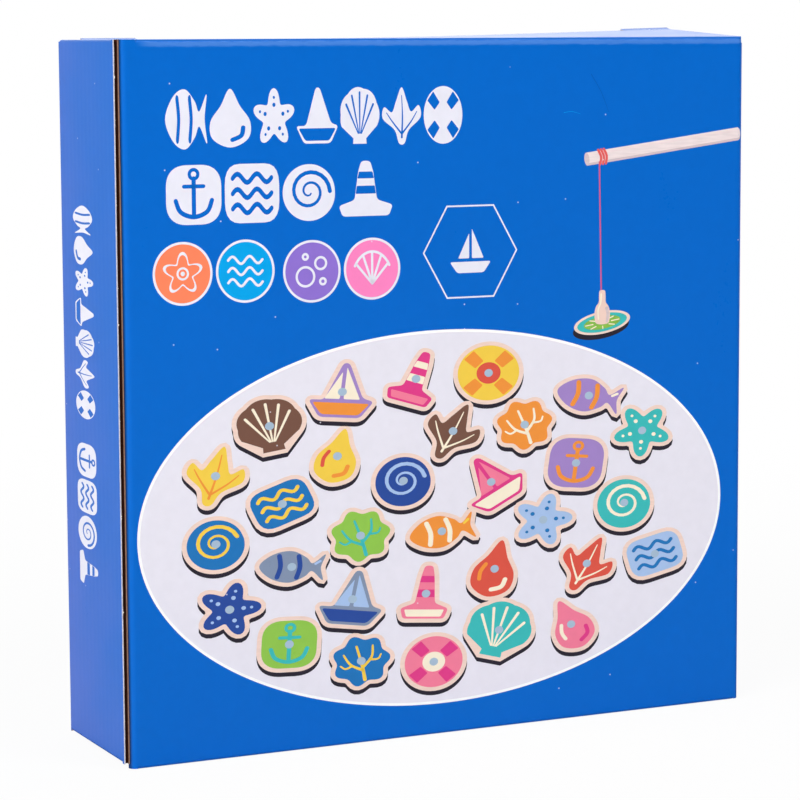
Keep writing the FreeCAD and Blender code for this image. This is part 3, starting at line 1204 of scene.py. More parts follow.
@dataclass(frozen=True)
class Motif:
    """A small generic picture: its silhouette and what is drawn on it, about the origin.

    Sizes are in halves of the motif's width. Each detail is a shape and the place of its colour
    in the colours that the motif is given: 1 for its main marks and 2 for the lesser ones.
    """

    body: Shape
    details: tuple[tuple[Shape, int], ...]


def marks(*rows: tuple[Loop, float, float]) -> tuple[tuple[Shape, int], ...]:
    """Main marks along smooth curves, each given by its knots and by its width at either end."""
    return tuple((Shape.stroke(curve(knots), width, tip), 1) for knots, width, tip in rows)


class Sea:
    """The stock of seaside motifs, none of which has a face."""

    @staticmethod
    def finned() -> Motif:
        """A plain fish in side view with two bands.

        Returns:
            The motif.
        """
        knots = [
            (-1.0, 0.0), (-0.62, 0.42), (-0.05, 0.56), (0.42, 0.34), (0.64, 0.14),
            (1.0, 0.46), (0.9, 0.0), (1.0, -0.46), (0.64, -0.14), (0.42, -0.34),
            (-0.05, -0.56), (-0.62, -0.42),
        ]
        bands = [
            Shape.stroke(curve([(u, 0.38), (u + 0.07, 0.0), (u, -0.38)]), 0.15)
            for u in (-0.42, 0.18)
        ]
        tail = Shape.stroke(curve([(0.72, 0.12), (0.86, 0.22)]), 0.08)
        return Motif(Shape.smooth(knots), ((bands[0], 1), (bands[1], 1), (tail, 2)))

    @staticmethod
    def starred() -> Motif:
        """A star with five round arms and a row of dots down each.

        Returns:
            The motif.
        """
        body = Shape.polar(lambda a: 0.74 + 0.22 * math.cos(5 * (a - math.pi / 2)))
        dots = []
        for arm in range(5):
            angle = math.pi / 2 + 2 * math.pi * arm / 5
            for reach, size in ((0.42, 0.07), (0.66, 0.05)):
                dot = Shape.oval(size, size, 14).at(reach * math.cos(angle), reach * math.sin(angle))
                dots.append((dot, 1))
        return Motif(body, tuple(dots))

    @staticmethod
    def scallop() -> Motif:
        """A fan shell with ribs.

        Returns:
            The motif.
        """
        rim = []
        steps = 54
        for i in range(steps + 1):
            angle = math.radians(205 - 230 * i / steps)
            reach = 0.95 + 0.05 * abs(math.cos(math.pi * 4.5 * i / steps))
            rim.append((reach * math.cos(angle), reach * math.sin(angle) * 0.92 + 0.05))
        body = Shape([rim + [(0.32, -0.72), (0.34, -0.9), (-0.34, -0.9), (-0.32, -0.72)]])
        ribs = []
        for angle in (30, 60, 90, 120, 150):
            a = math.radians(angle)
            tip = (0.78 * math.cos(a), 0.78 * math.sin(a))
            ribs.append((Shape.stroke([(0.1 * math.cos(a), -0.55), tip], 0.05, 0.09), 1))
        return Motif(body, tuple(ribs))

    @staticmethod
    def spiral() -> Motif:
        """A round snail shell with its spiral line.

        Returns:
            The motif.
        """
        body = Shape.polar(lambda a: 0.82 + 0.16 * ((a / (2 * math.pi)) ** 2) * math.sin(a / 2))
        path = []
        for i in range(40):
            angle = 0.3 * i
            reach = 0.66 * (1 - i / 44)
            path.append((reach * math.cos(angle), reach * math.sin(angle)))
        return Motif(body, ((Shape.stroke(path, 0.13, 0.05), 1),))

    @staticmethod
    def sailing() -> Motif:
        """A little boat with two sails.

        Returns:
            The motif.
        """
        body = Shape.blunt(
            [(-0.95, -0.28), (-0.5, -0.28), (-0.06, 0.95), (0.12, 0.95), (0.62, -0.2),
             (0.95, -0.28), (0.6, -0.85), (-0.6, -0.85)], 0.14
        )
        hull = Shape.blunt([(-0.84, -0.36), (0.84, -0.36), (0.54, -0.76), (-0.54, -0.76)], 0.1)
        small = Shape.blunt([(-0.5, -0.24), (-0.05, -0.24), (-0.05, 0.66)], 0.05)
        large = Shape.blunt([(0.06, -0.24), (0.54, -0.24), (0.06, 0.82)], 0.05)
        return Motif(body, ((hull, 1), (small, 2), (large, 2)))

    @staticmethod
    def frond() -> Motif:
        """Three leaves of seaweed on one root.

        Returns:
            The motif.
        """
        knots = [
            (-0.12, -0.95), (-0.3, -0.5), (-0.8, -0.1), (-0.74, 0.3), (-0.42, 0.12),
            (-0.24, 0.5), (0.0, 0.98), (0.22, 0.5), (0.4, 0.14), (0.72, 0.36),
            (0.8, -0.06), (0.3, -0.5), (0.12, -0.95),
        ]
        veins = marks(
            ([(0.0, -0.75), (0.03, 0.0), (0.0, 0.7)], 0.08, 0.03),
            ([(-0.03, -0.6), (-0.4, -0.2), (-0.64, 0.1)], 0.07, 0.03),
            ([(0.03, -0.6), (0.4, -0.2), (0.64, 0.14)], 0.07, 0.03),
        )
        return Motif(Shape.smooth(knots), veins)

    @staticmethod
    def lifebelt() -> Motif:
        """A ring with four bands.

        Returns:
            The motif.
        """
        details = [(Shape.oval(0.36, 0.36, 32), 2)]
        for k in range(4):
            bar = Shape.blunt([(0.4, -0.17), (0.86, -0.2), (0.86, 0.2), (0.4, 0.17)], 0.04)
            details.append((bar.turned(45 + 90 * k), 1))
        return Motif(Shape.oval(0.92, 0.92), tuple(details))

    @staticmethod
    def anchor() -> Motif:
        """A rounded plate with an anchor.

        Returns:
            The motif.
        """
        arms = [(-0.55, -0.16), (-0.4, -0.48), (0.0, -0.62), (0.4, -0.48), (0.55, -0.16)]
        lines = (
            Shape.stroke([(0.0, 0.46), (0.0, -0.6)], 0.13),
            Shape.stroke([(-0.3, 0.24), (0.3, 0.24)], 0.11),
            Shape.stroke(curve(arms), 0.13),
            Shape.band(0.18, 0.08, 32).at(0.0, 0.58),
        )
        body = Shape.polar(lambda a: 0.9 - 0.06 * math.cos(4 * a))
        return Motif(body, tuple((line, 1) for line in lines))

    @staticmethod
    def waves() -> Motif:
        """A rounded block with three rolling lines.

        Returns:
            The motif.
        """
        body = Shape.blunt([(-0.92, -0.7), (0.92, -0.7), (0.92, 0.7), (-0.92, 0.7)], 0.5)
        lines = [Shape.stroke(wavy(0.66, 0.1, v, 24), 0.12) for v in (-0.36, 0.0, 0.36)]
        return Motif(body, tuple((line, 1) for line in lines))

    @staticmethod
    def drop() -> Motif:
        """A drop of water with two strokes of light.

        Returns:
            The motif.
        """
        knots = [(0.0, 0.98), (-0.3, 0.42), (-0.62, -0.1), (-0.56, -0.66), (0.0, -0.95),
                 (0.56, -0.66), (0.62, -0.1), (0.3, 0.42)]
        shine = Shape.stroke(curve([(-0.3, 0.12), (-0.4, -0.14), (-0.38, -0.4)]), 0.12)
        glow = Shape.stroke(curve([(0.4, -0.3), (0.34, -0.56), (0.06, -0.7)]), 0.14)
        return Motif(Shape.smooth(knots), ((shine, 2), (glow, 1)))

    @staticmethod
    def buoy() -> Motif:
        """A floating marker with two stripes.

        Returns:
            The motif.
        """
        body = Shape.blunt(
            [(-0.62, -0.85), (0.62, -0.85), (0.72, -0.5), (0.3, -0.32), (0.2, 0.6),
             (0.12, 0.95), (-0.12, 0.95), (-0.2, 0.6), (-0.3, -0.32), (-0.72, -0.5)], 0.1
        )
        stripes = [
            (Shape.blunt([(-0.27, -0.12), (0.27, -0.12), (0.24, 0.14), (-0.24, 0.14)], 0.03), 1),
            (Shape.blunt([(-0.22, 0.38), (0.22, 0.38), (0.18, 0.6), (-0.18, 0.6)], 0.03), 1),
            (Shape.blunt([(-0.52, -0.78), (0.52, -0.78), (0.6, -0.54), (-0.6, -0.54)], 0.05), 2),
        ]
        return Motif(body, tuple(stripes))

    @staticmethod
    def coral() -> Motif:
        """A rounded bush of coral with branching lines.

        Returns:
            The motif.
        """
        body = Shape.polar(lambda a: 0.84 + 0.08 * math.cos(7 * a + 0.6))
        twigs = marks(
            ([(0.0, -0.7), (0.0, -0.2), (-0.06, 0.55)], 0.12, 0.07),
            ([(0.0, -0.35), (-0.34, -0.06), (-0.5, 0.34)], 0.1, 0.06),
            ([(0.0, -0.25), (0.34, 0.06), (0.44, 0.46)], 0.1, 0.06),
            ([(0.26, -0.02), (0.52, -0.06), (0.64, 0.08)], 0.08, 0.05),
            ([(-0.3, -0.1), (-0.52, -0.16), (-0.66, -0.02)], 0.08, 0.05),
        )
        return Motif(body, twigs)


HEADING_ROWS = (
    (Sea.finned, Sea.drop, Sea.starred, Sea.sailing, Sea.scallop, Sea.frond, Sea.lifebelt),
    (Sea.anchor, Sea.waves, Sea.spiral, Sea.buoy),
)


def heading_shapes(
    sheet: PrintSheet, motif: Motif, centre: Point, half: Point, degrees: float = 0.0
) -> None:
    """Draws one motif in bold white, with only its main marks left in the panel's blue.

    Args:
        sheet: The sheet to draw on.
        motif: What to draw.
        centre: Its middle on the panel.
        half: Half its width and half its height, before it is turned.
        degrees: How far it is turned.
    """
    box = motif.body.loops[0]
    reach_u = max(abs(u) for u, _ in box)
    reach_v = max(abs(v) for _, v in box)

    def drawn(shape: Shape) -> Shape:
        """A shape of the motif in its size and place on the panel."""
        return shape.sized(half[0] / reach_u, half[1] / reach_v).turned(degrees).at(*centre)

    sheet.add(drawn(motif.body), Ink.WHITE, 1)
    for detail, tone in motif.details:
        if tone == 1:
            sheet.add(drawn(detail), Ink.PANEL_BLUE, 2)


@dataclass
class FrontPrint:
    """Everything printed on the front panel.

    Places and sizes are millimetres from its lower left corner. The heading's fill is half a
    motif's width as a share of the row's pitch.
    """

    palette: Palette
    heading_left: float = 15.7
    heading_tops: tuple[float, float] = (205.2, 182.6)
    heading_height: float = 17.9
    heading_pitches: tuple[float, float] = (14.25, 18.9)
    heading_fill: float = 0.47
    disc_places: tuple[Point, ...] = ((20.7, 150.1), (41.0, 150.15), (63.0, 149.25), (83.3, 149.3))
    disc_radius: float = 9.6
    disc_rim: float = 0.75
    hexagon_centre: Point = (117.3, 153.4)
    hexagon_half: Point = (16.6, 14.6)
    hexagon_line: float = 0.5
    rod_tip: Point = (158.95, 181.4)
    rod_end: Point = (216.3, 188.6)
    rod_half: float = 2.1
    rod_round: float = 1.2
    thread_end: Point = (164.3, 139.2)
    bead_top: Point = (164.7, 139.0)
    base_centre: Point = (164.7, 128.8)
    base_tilt: float = 8.0
    oval_centre: Point = (107.26, 69.56)
    oval_half: Point = (102.35, 59.65)
    oval_rim: float = 0.9
    tile_count: int = 31
    tile_reach: Point = (84.0, 46.0)
    tile_spacing: Point = (25.5, 20.0)
    tile_halves: Point = (10.9, 11.9)
    tile_turn: float = 32.0
    tile_lean: float = 0.8
    tile_border: float = 1.6
    tile_thickness: float = 1.35
    tile_dot: Point = (1.5, 1.25)

    def panel(self) -> Panel:
        """The front face as a sheet.

        Returns:
            The sheet, which goes round the right fold.
        """
        return Panel(
            origin=Vector((BOX.left, BOX.front, 0.0)),
            along=Vector((1, 0, 0)),
            up=Vector((0, 0, 1)),
            outward=Vector((0, -1, 0)),
            flat_end=BOX.width - BOARD.fold_radius,
        )

    def heading(self) -> bpy.types.Object:
        """Two rows of bold white motifs in the heading's place.

        Returns:
            The piece.
        """
        sheet = PrintSheet("front_heading_print", self.panel())
        tall = self.heading_height / 2
        for row, top, pitch in zip(HEADING_ROWS, self.heading_tops, self.heading_pitches):
            wide = pitch * self.heading_fill
            for i, make in enumerate(row):
                centre = (self.heading_left + pitch * i + wide, top - tall)
                heading_shapes(sheet, make(), centre, (wide, tall))
        return sheet.build(self.palette)

    @staticmethod
    def disc_lines() -> dict[Ink, list[Shape]]:
        """The line motifs of the discs.

        Returns:
            The lines of each disc by its colour: a star, ripples, bubbles and a fan.
        """
        outline = Sea.starred().body
        star = [Shape([outline.sized(6.9).loops[0], outline.sized(5.9).loops[0]])]
        star += [Shape.oval(0.7, 0.7, 20), Shape.band(2.0, 1.35, 32)]
        ripple = [Shape.stroke(wavy(5.6, 1.1, v, 32), 0.8) for v in (-3.4, 0.0, 3.4)]
        rings = ((-2.2, -1.6, 3.3), (2.9, 2.4, 2.2), (3.6, -3.2, 1.3), (-2.2, 4.5, 1.2))
        bubbles = [Shape.band(size, size - 0.75, 40).at(u, v) for u, v, size in rings]
        fan = []
        for degrees in (42, 66, 90, 114, 138):
            a = math.radians(degrees)
            path = [(0.0, -4.6), (7.4 * math.cos(a), -4.6 + 9.4 * math.sin(a))]
            fan.append(Shape.stroke(path, 0.75))
        arc = [math.radians(degrees) for degrees in range(32, 149, 4)]
        fan.append(Shape.stroke([(6.9 * math.cos(a), -3.9 + 9.2 * math.sin(a)) for a in arc], 0.8))
        return {Ink.ORANGE: star, Ink.SKY: ripple, Ink.PURPLE: bubbles, Ink.PINK: fan}

    def discs(self) -> bpy.types.Object:
        """Four coloured discs in white rings, each with a white line motif.

        Returns:
            The piece.
        """
        sheet = PrintSheet("front_disc_prints", self.panel())
        radius, inner = self.disc_radius, self.disc_radius - self.disc_rim
        for place, (ink, lines) in zip(self.disc_places, self.disc_lines().items()):
            sheet.add(Shape.oval(radius, radius, 96).at(*place), Ink.WHITE, 1)
            sheet.add(Shape.oval(inner, inner, 96).at(*place), ink, 2)
            for line in lines:
                sheet.add(line.at(*place), Ink.WHITE, 3)
        return sheet.build(self.palette)

    def hexagon(self) -> bpy.types.Object:
        """A thin white hexagon with a plain sail motif in it.

        Returns:
            The piece.
        """
        sheet = PrintSheet("front_hexagon_print", self.panel())
        half_u, half_v = self.hexagon_half
        corners = [(half_u, 0), (half_u / 2, half_v), (-half_u / 2, half_v)]
        corners += [(-u, -v) for u, v in corners]
        inset = 1 - self.hexagon_line / half_v
        ring = Shape([corners, [(u * inset, v * inset) for u, v in corners]])
        sheet.add(ring.at(*self.hexagon_centre), Ink.WHITE, 1)
        for shape, _ in Sea.sailing().details:
            sheet.add(shape.sized(8.6, 8.8).at(*self.hexagon_centre), Ink.WHITE, 1)
        return sheet.build(self.palette)

    @property
    def rod_run(self) -> float:
        """The slope of the rod as an angle in radians."""
        return math.atan2(self.rod_end[1] - self.rod_tip[1], self.rod_end[0] - self.rod_tip[0])

    def on_rod(self, s: float, t: float) -> Point:
        """The place that lies s along the rod from its tip and t above its middle line."""
        c, d = math.cos(self.rod_run), math.sin(self.rod_run)
        return self.rod_tip[0] + c * s - d * t, self.rod_tip[1] + d * s + c * t

    def rod(self) -> bpy.types.Object:
        """A wooden rod with a wrapped thread that holds a turned bead over a small tile.

        The rod's round end goes over the fold in short stretches.

        Returns:
            The piece.
        """
        sheet = PrintSheet("front_rod_print", self.panel())
        length = math.dist(self.rod_tip, self.rod_end)

        def half(s: float) -> float:
            """Half the rod's thickness at s along it."""
            past = max(0.0, s - length + self.rod_round) / self.rod_round
            return self.rod_half * math.sqrt(max(0.04, 1 - past**2))

        steps = 14
        fold = (BOX.width - BOARD.fold_radius - self.rod_tip[0]) / math.cos(self.rod_run) - 0.5
        stops = [0.0, *(fold + (length - fold) * k / steps for k in range(steps + 1))]
        for start, stop in zip(stops, stops[1:]):
            for ink, top, level in ((Ink.ROD, 1.0, 1), (Ink.ROD_SHADE, -0.62, 2)):
                corners = ((start, -1.0), (stop, -1.0), (stop, top), (start, top))
                sheet.add(Shape([[self.on_rod(s, t * half(s)) for s, t in corners]]), ink, level)
        end_face = Shape.oval(0.9, self.rod_half, 32).turned(math.degrees(self.rod_run))
        sheet.add(end_face.at(*self.rod_tip), Ink.ROD_SHADE, 3)
        sheet.add(Shape.stroke([self.on_rod(4.4, -1.6), self.thread_end], 0.5), Ink.THREAD, 3)
        for s in (4.7, 5.75, 6.8):
            places = ((s - 0.3, 2.3), (s + 0.5, 0.0), (s - 0.1, -2.3))
            path = curve([self.on_rod(*place) for place in places])
            sheet.add(Shape.stroke(path, 0.85), Ink.WRAP, 4)
        self.base(sheet)
        self.bead(sheet)
        return sheet.build(self.palette)

    def base(self, sheet: PrintSheet) -> None:
        """Draws the small round tile under the bead.

        Args:
            sheet: The sheet to draw on.
        """
        (u, v), tilt = self.base_centre, self.base_tilt
        board = Shape.oval(10.4, 3.6, 64).turned(tilt)
        sheet.add(board.at(u - 0.4, v - 1.6), Ink.DARK, 4)
        sheet.add(board.at(u, v), Ink.WOOD, 5)
        sheet.add(Shape.oval(9.2, 2.9, 64).turned(tilt).at(u, v), Ink.TEAL, 6)
        sheet.add(Shape.oval(6.8, 2.1, 64).turned(tilt).at(u, v), Ink.LEAF, 6)
        rays = 8
        for k in range(rays):
            c, d = math.cos(2 * math.pi * k / rays), math.sin(2 * math.pi * k / rays)
            ray = Shape.stroke([(3.4 * c, 1.2 * d), (6.2 * c, 1.9 * d)], 0.35)
            sheet.add(ray.turned(tilt).at(u, v), Ink.CREAM, 7)

    def bead(self, sheet: PrintSheet) -> None:
        """Draws the turned bead with a shade and a light on it.

        Args:
            sheet: The sheet to draw on.
        """
        right = [(1.0, 0.0), (1.2, -1.6), (1.3, -3.6), (2.3, -5.0), (2.8, -7.0), (2.7, -9.2),
                 (2.2, -10.4)]
        left = [(-u, v) for u, v in right]
        outline = Shape.smooth([(0.0, 0.3), *left, (0.0, -10.8), *right[::-1]])
        shade = Shape.stroke(curve([(1.6, -5.6), (2.0, -7.4), (1.7, -9.8)]), 1.1, 0.8)
        path = curve([(-0.4, -1.0), (-0.6, -3.8), (-1.5, -6.0), (-1.4, -9.0)])
        light = Shape.stroke(path, 0.6, 0.4)
        for shape, ink, level in (
            (outline, Ink.BEAD, 8), (shade, Ink.ROD_SHADE, 9), (light, Ink.CREAM, 9)
        ):
            sheet.add(shape.at(*self.bead_top), ink, level)

    def oval(self) -> bpy.types.Object:
        """The large pale oval with its white rim.

        Returns:
            The piece.
        """
        sheet = PrintSheet("front_oval_print", self.panel())
        half_u, half_v = self.oval_half
        for rim, ink, level in ((0.0, Ink.PURE_WHITE, 1), (self.oval_rim, Ink.OVAL, 2)):
            shape = Shape.oval(half_u - rim, half_v - rim, 240)
            sheet.add(shape.at(*self.oval_centre), ink, level)
        return sheet.build(self.palette)

    def tiles(self) -> bpy.types.Object:
        """Wooden tiles with seaside motifs, scattered over the oval.

        Returns:
            The piece.
        """
        sheet = PrintSheet("front_tile_prints", self.panel())
        stock = (Sea.finned, Sea.starred, Sea.scallop, Sea.sailing, Sea.anchor, Sea.spiral,
                 Sea.frond, Sea.lifebelt, Sea.coral, Sea.waves, Sea.drop, Sea.buoy)
        looks = (
            (Ink.AMBER, Ink.CREAM, Ink.YELLOW), (Ink.TEAL, Ink.CREAM, Ink.NAVY),
            (Ink.ROSE, Ink.MAGENTA, Ink.CREAM), (Ink.LEAF, Ink.TEAL, Ink.YELLOW),
            (Ink.NAVY, Ink.ICE, Ink.YELLOW), (Ink.YELLOW, Ink.AMBER, Ink.RED),
            (Ink.LILAC, Ink.AMBER, Ink.CREAM), (Ink.ICE, Ink.AZURE, Ink.CREAM),
            (Ink.RED, Ink.CREAM, Ink.AMBER), (Ink.SLATE, Ink.NAVY, Ink.ICE),
            (Ink.AZURE, Ink.YELLOW, Ink.CREAM), (Ink.COCOA, Ink.CREAM, Ink.AMBER),
            (Ink.MAGENTA, Ink.CREAM, Ink.ROSE),
        )
        chance = random.Random(11)
        places = spread(self.tile_count, self.tile_reach, self.tile_spacing, chance)
        for k, (u, v) in enumerate(places):
            place = (self.oval_centre[0] + u, self.oval_centre[1] + v)
            motif = stock[(k * 5) % len(stock)]()
            look = looks[(k * 4 + k // 13) % len(looks)]
            degrees = chance.uniform(-self.tile_turn, self.tile_turn)
            self.tile(sheet, motif, look, place, degrees, chance.uniform(*self.tile_halves))
        return sheet.build(self.palette)

    def tile(
        self,
        sheet: PrintSheet,
        motif: Motif,
        look: tuple[Ink, Ink, Ink],
        place: Point,
        degrees: float,
        half: float,
    ) -> None:
        """Draws one tile as it lies on a table, seen from a low side.

        It has a dark edge, a wooden border, a coloured field with its details and a metal dot.

        Args:
            sheet: The sheet to draw on.
            motif: The tile's motif.
            look: The colours of its field and of its details.
            place: Its middle on the panel.
            degrees: How far it is turned on the table.
            half: Half its width.
        """

        def laid(shape: Shape, drop: float = 0.0) -> Shape:
            """A shape of the tile as it lies turned, leant back and in its place."""
            return shape.turned(degrees).sized(1.0, self.tile_lean).at(place[0], place[1] - drop)

        field_shape = motif.body.sized(half)
        board = field_shape.grown(self.tile_border)
        sheet.add(laid(board, self.tile_thickness), Ink.DARK, 3)
        sheet.add(laid(board), Ink.WOOD, 4)
        sheet.add(laid(field_shape), look[0], 5)
        for detail, tone in motif.details:
            sheet.add(laid(detail.sized(half)), look[tone], 6)
        sheet.add(Shape.oval(*self.tile_dot, 28).at(*place), Ink.DOT, 7)

    def scuffs(self) -> bpy.types.Object:
        """Two hairline scratches near the top right corner.

        Returns:
            The piece.
        """
        sheet = PrintSheet("front_scuff_marks", self.panel())
        dark = curve([(160.5, 208.3), (164.2, 202.5), (166.8, 196.4)])
        pale = curve([(150.6, 196.3), (153.5, 196.6), (156.6, 195.8)])
        sheet.add(Shape.stroke(dark, 0.2, 0.1), Ink.SCRATCH, 1)
        sheet.add(Shape.stroke(pale, 0.16, 0.08), Ink.SKY, 1)
        return sheet.build(self.palette)

    def build(self) -> None:
        """Prints the whole panel."""
        self.heading()
        self.discs()
        self.hexagon()
        self.rod()
        self.oval()
        self.tiles()
        self.scuffs()


@dataclass
class SidePrint:
    """The white motifs that run down the left side panel, in millimetres.

    The fill is half a motif's height as a share of the pitch.
    """

    palette: Palette
    middle: float = 21.4
    top: float = 169.7
    pitches: tuple[float, float] = (9.5, 11.3)
    fill: float = 0.46
    group_gap: float = 7.0
    half_width: float = 8.8

    def build(self) -> None:
        """Prints the column, whose motifs lie on their sides as the heading's would."""
        panel = Panel(
            origin=Vector((BOX.left, BOX.back, 0.0)),
            along=Vector((0, -1, 0)),
            up=Vector((0, 0, 1)),
            outward=Vector((-1, 0, 0)),
        )
        sheet = PrintSheet("side_heading_print", panel)
        top = self.top
        for group, pitch in zip(HEADING_ROWS, self.pitches):
            for make in group:
                half = (pitch * self.fill, self.half_width)
                heading_shapes(sheet, make(), (self.middle, top - half[0]), half, -90.0)
                top -= pitch
            top -= self.group_gap
        sheet.build(self.palette)


@dataclass
class LidCrease:
    """The printed liner over the crease between the front panel and the lid, in millimetres."""

    outside: bpy.types.Material
    inside: bpy.types.Material
    proud: float = 0.03
    on_front: float = 1.4
    on_lid: float = 1.6
    across_steps: int = 60
    corner_steps: int = 8
    corner_turn: float = 80.0
    bend_steps: int = 10

    def lid_rise(self, tree: BVHTree, x: float, y: float) -> float:
        """How far the lid's top stands above the box's height at a place.

        Args:
            tree: The lid's faces.
            x: The place's first part.
            y: Its second part.

        Returns:
            The rise, or 0 beside the lid.
        """
        start = Vector((x, y, BOX.height + 20)) * MM
        hit = tree.ray_cast(start, Vector((0, 0, -1)))[0]
        return hit.z / MM - BOX.height if hit else 0.0

    def stations(self) -> list[float]:
        """The places along the crease that have a section, closer together round the corner.

        Returns:
            The places, from left to right.
        """
        first = BOX.lid_left - BOARD.lid_seat_gap - 0.1
        bend = BOX.lid_right - BOARD.lid_corner_radius
        straight = self.across_steps - self.corner_steps
        even = [first + (bend - first) * i / straight for i in range(straight)]
        turn = math.radians(self.corner_turn) / self.corner_steps
        turns = [turn * i for i in range(self.corner_steps + 1)]
        return even + [bend + BOARD.lid_corner_radius * math.sin(turn) for turn in turns]

    @staticmethod
    def corner_inset(x: float, on_carton: bool) -> float:
        """How far the round right corner lies behind the front.

        Args:
            x: The place along the crease.
            on_carton: Whether the carton's corner is meant, not the lid's.

        Returns:
            The distance.
        """
        radius = BOARD.fold_radius if on_carton else BOARD.lid_corner_radius
        end = BOX.right if on_carton else BOX.lid_right
        past = x - (end - radius)
        return radius - math.sqrt(radius**2 - past**2) if past > 0 else 0.0

    def section(self, x: float, tilt: float, reach: float, depth: float) -> list[Vector]:
        """One section across the crease, from the front panel round the bend to the lid.

        Args:
            x: The place along the crease.
            tilt: How far the lid leans up there, in radians.
            reach: How far back the section goes on the lid.
            depth: How far it lies outside the board's face.

        Returns:
            Its points in metres.
        """
        radius = BOARD.crease_radius
        out = radius + depth
        profile = [(BOX.front - depth, BOX.height - BOARD.thickness - self.on_front)]
        for k in range(self.bend_steps + 1):
            angle = math.pi - math.pi / 2 * k / self.bend_steps
            y = BOX.front + radius + out * math.cos(angle)
            profile.append((y, BOX.height - radius + out * math.sin(angle)))
        profile.append((reach, BOX.height + depth))
        points = []
        for k, (y, z) in enumerate(profile):
            turn = tilt * min(max((k - 1) / self.bend_steps, 0.0), 1.0)
            dy = max(y - BOX.front, self.corner_inset(x, k == 0) - depth)
            dz = z - BOX.height
            y = BOX.front + dy * math.cos(turn) - dz * math.sin(turn)
            z = BOX.height + dy * math.sin(turn) + dz * math.cos(turn)
            points.append(Vector((x, y, z)) * MM)
        return points

    def closed_strip(self, row: int) -> list[tuple[int, ...]]:
        """The faces of the strip: its outer skin, its inner skin and its four narrow edges.

        Args:
            row: The number of points in a section.

        Returns:
            The faces, as numbers of points.
        """
        faces = []
        block = 2 * row
        for i in range(self.across_steps):
            a, b = i * block, (i + 1) * block
            for k in range(row - 1):
                faces.append((a + k, b + k, b + k + 1, a + k + 1))
                faces.append((a + row + k + 1, b + row + k + 1, b + row + k, a + row + k))
            faces.append((a, a + row, b + row, b))
            faces.append((a + row - 1, b + row - 1, b + 2 * row - 1, a + 2 * row - 1))
        for i, turned in ((0, False), (self.across_steps, True)):
            a = i * block
            for k in range(row - 1):
                side = (a + k, a + k + 1, a + row + k + 1, a + row + k)
                faces.append(side[::-1] if turned else side)
        return faces

    def build(self) -> None:
        """Makes the strip in its place between the two bodies."""
        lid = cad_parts[LID].data
        corners = [vertex.co.copy() for vertex in lid.vertices]
        tree = BVHTree.FromPolygons(corners, [tuple(face.vertices) for face in lid.polygons])
        radius = BOARD.crease_radius
        reach = BOX.front + radius + self.on_lid
        points: list[Vector] = []
        for x in self.stations():
            tilt = math.atan2(self.lid_rise(tree, x, reach), reach - BOX.front)
            for depth in (self.proud, -self.proud):
                points += self.section(x, tilt, reach, depth)
        row = self.bend_steps + 3
        faces = self.closed_strip(row)
        strip = new_piece("lid_crease_liner", points, faces)
        strip.data.polygons.foreach_set("use_smooth", [True] * len(faces))
        strip.data.set_sharp_from_angle(angle=math.radians(50))
        for finish in (self.outside, self.inside):
            strip.data.materials.append(finish)
        is_inner = [int(min(face) % (2 * row) >= row) for face in faces]
        strip.data.polygons.foreach_set("material_index", is_inner)
        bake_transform(strip)
        log.info("%s bends from %s to %s", strip.name, CARTON, LID)


@dataclass
class SeamFray:
    """Torn paper fibres along the seam's cut edge, in millimetres."""

    count: int = 24
    longest: float = 1.1
    shortest: float = 0.15
    thickness: float = 0.05
    end_margin: float = 8.0

    def material(self) -> bpy.types.Material:
        """Pale paper fibre.

        Returns:
            The material.
        """
        shader = Shader.named("paper_fibre")
        where = shader.place()[0]
        tone = shader.noise(where, 260.0, 3.0)
        colour = shader.mix(tone.over(0.5, 0.2), linear("C9B09A"), linear("F3EEE8"))
        return shader.finish(colour, 0.8 + tone.swing(0.2), tone * 0.02, 1.4)

    def build(self) -> None:
        """Scatters small flat slivers that hang on the outer liner's edge."""
        chance = random.Random(5)
        points: list[Vector] = []
        faces: list[tuple[int, ...]] = []
        edge_y = BOX.front + BOARD.seam_setback
        for _ in range(self.count):
            z = chance.uniform(self.end_margin, BOX.height - self.end_margin)
            long = chance.uniform(0.25, 1.0) ** 2 * self.longest + self.shortest
            wide = chance.uniform(0.12, 0.34)
            left = BOX.left + chance.uniform(0.03, 0.3)
            lift = chance.uniform(0.05, 0.3)
            base = len(points)
            for x in (left, left + self.thickness):
                root, top = (x, edge_y, z), (x, edge_y, z + long)
                tip = (x + wide, edge_y - lift, z + long * 0.6)
                points += [Vector(corner) * MM for corner in (root, top, tip)]
            faces += [(base, base + 2, base + 1), (base + 3, base + 4, base + 5)]
            for i, j in ((0, 1), (1, 2), (2, 0)):
                faces.append((base + i, base + j, base + 3 + j, base + 3 + i))
        piece = new_piece("seam_paper_fibres", points, faces)
        piece.data.materials.append(self.material())
        carried(piece, CARTON)


@dataclass(frozen=True)
class Lamp:
    """A soft square lamp that looks at the box, with its lengths in metres.

    Its azimuth is in degrees from the front, positive to the right.
    """

    name: str
    azimuth: float
    height: float
    distance: float
    size: float
    watts: float

    def build(self) -> None:
        """Adds the lamp to the scene."""
        data = bpy.data.lights.new(self.name, "AREA")
        data.size, data.energy = self.size, self.watts
        lamp = bpy.data.objects.new(self.name, data)
        a = math.radians(self.azimuth)
        lamp.location = (self.distance * math.sin(a), -self.distance * math.cos(a), self.height)
        aim = Vector((0, 0, BOX.height / 2 * MM)) - lamp.location
        lamp.rotation_euler = aim.to_track_quat("-Z", "Y").to_euler()
        bpy.context.scene.collection.objects.link(lamp)


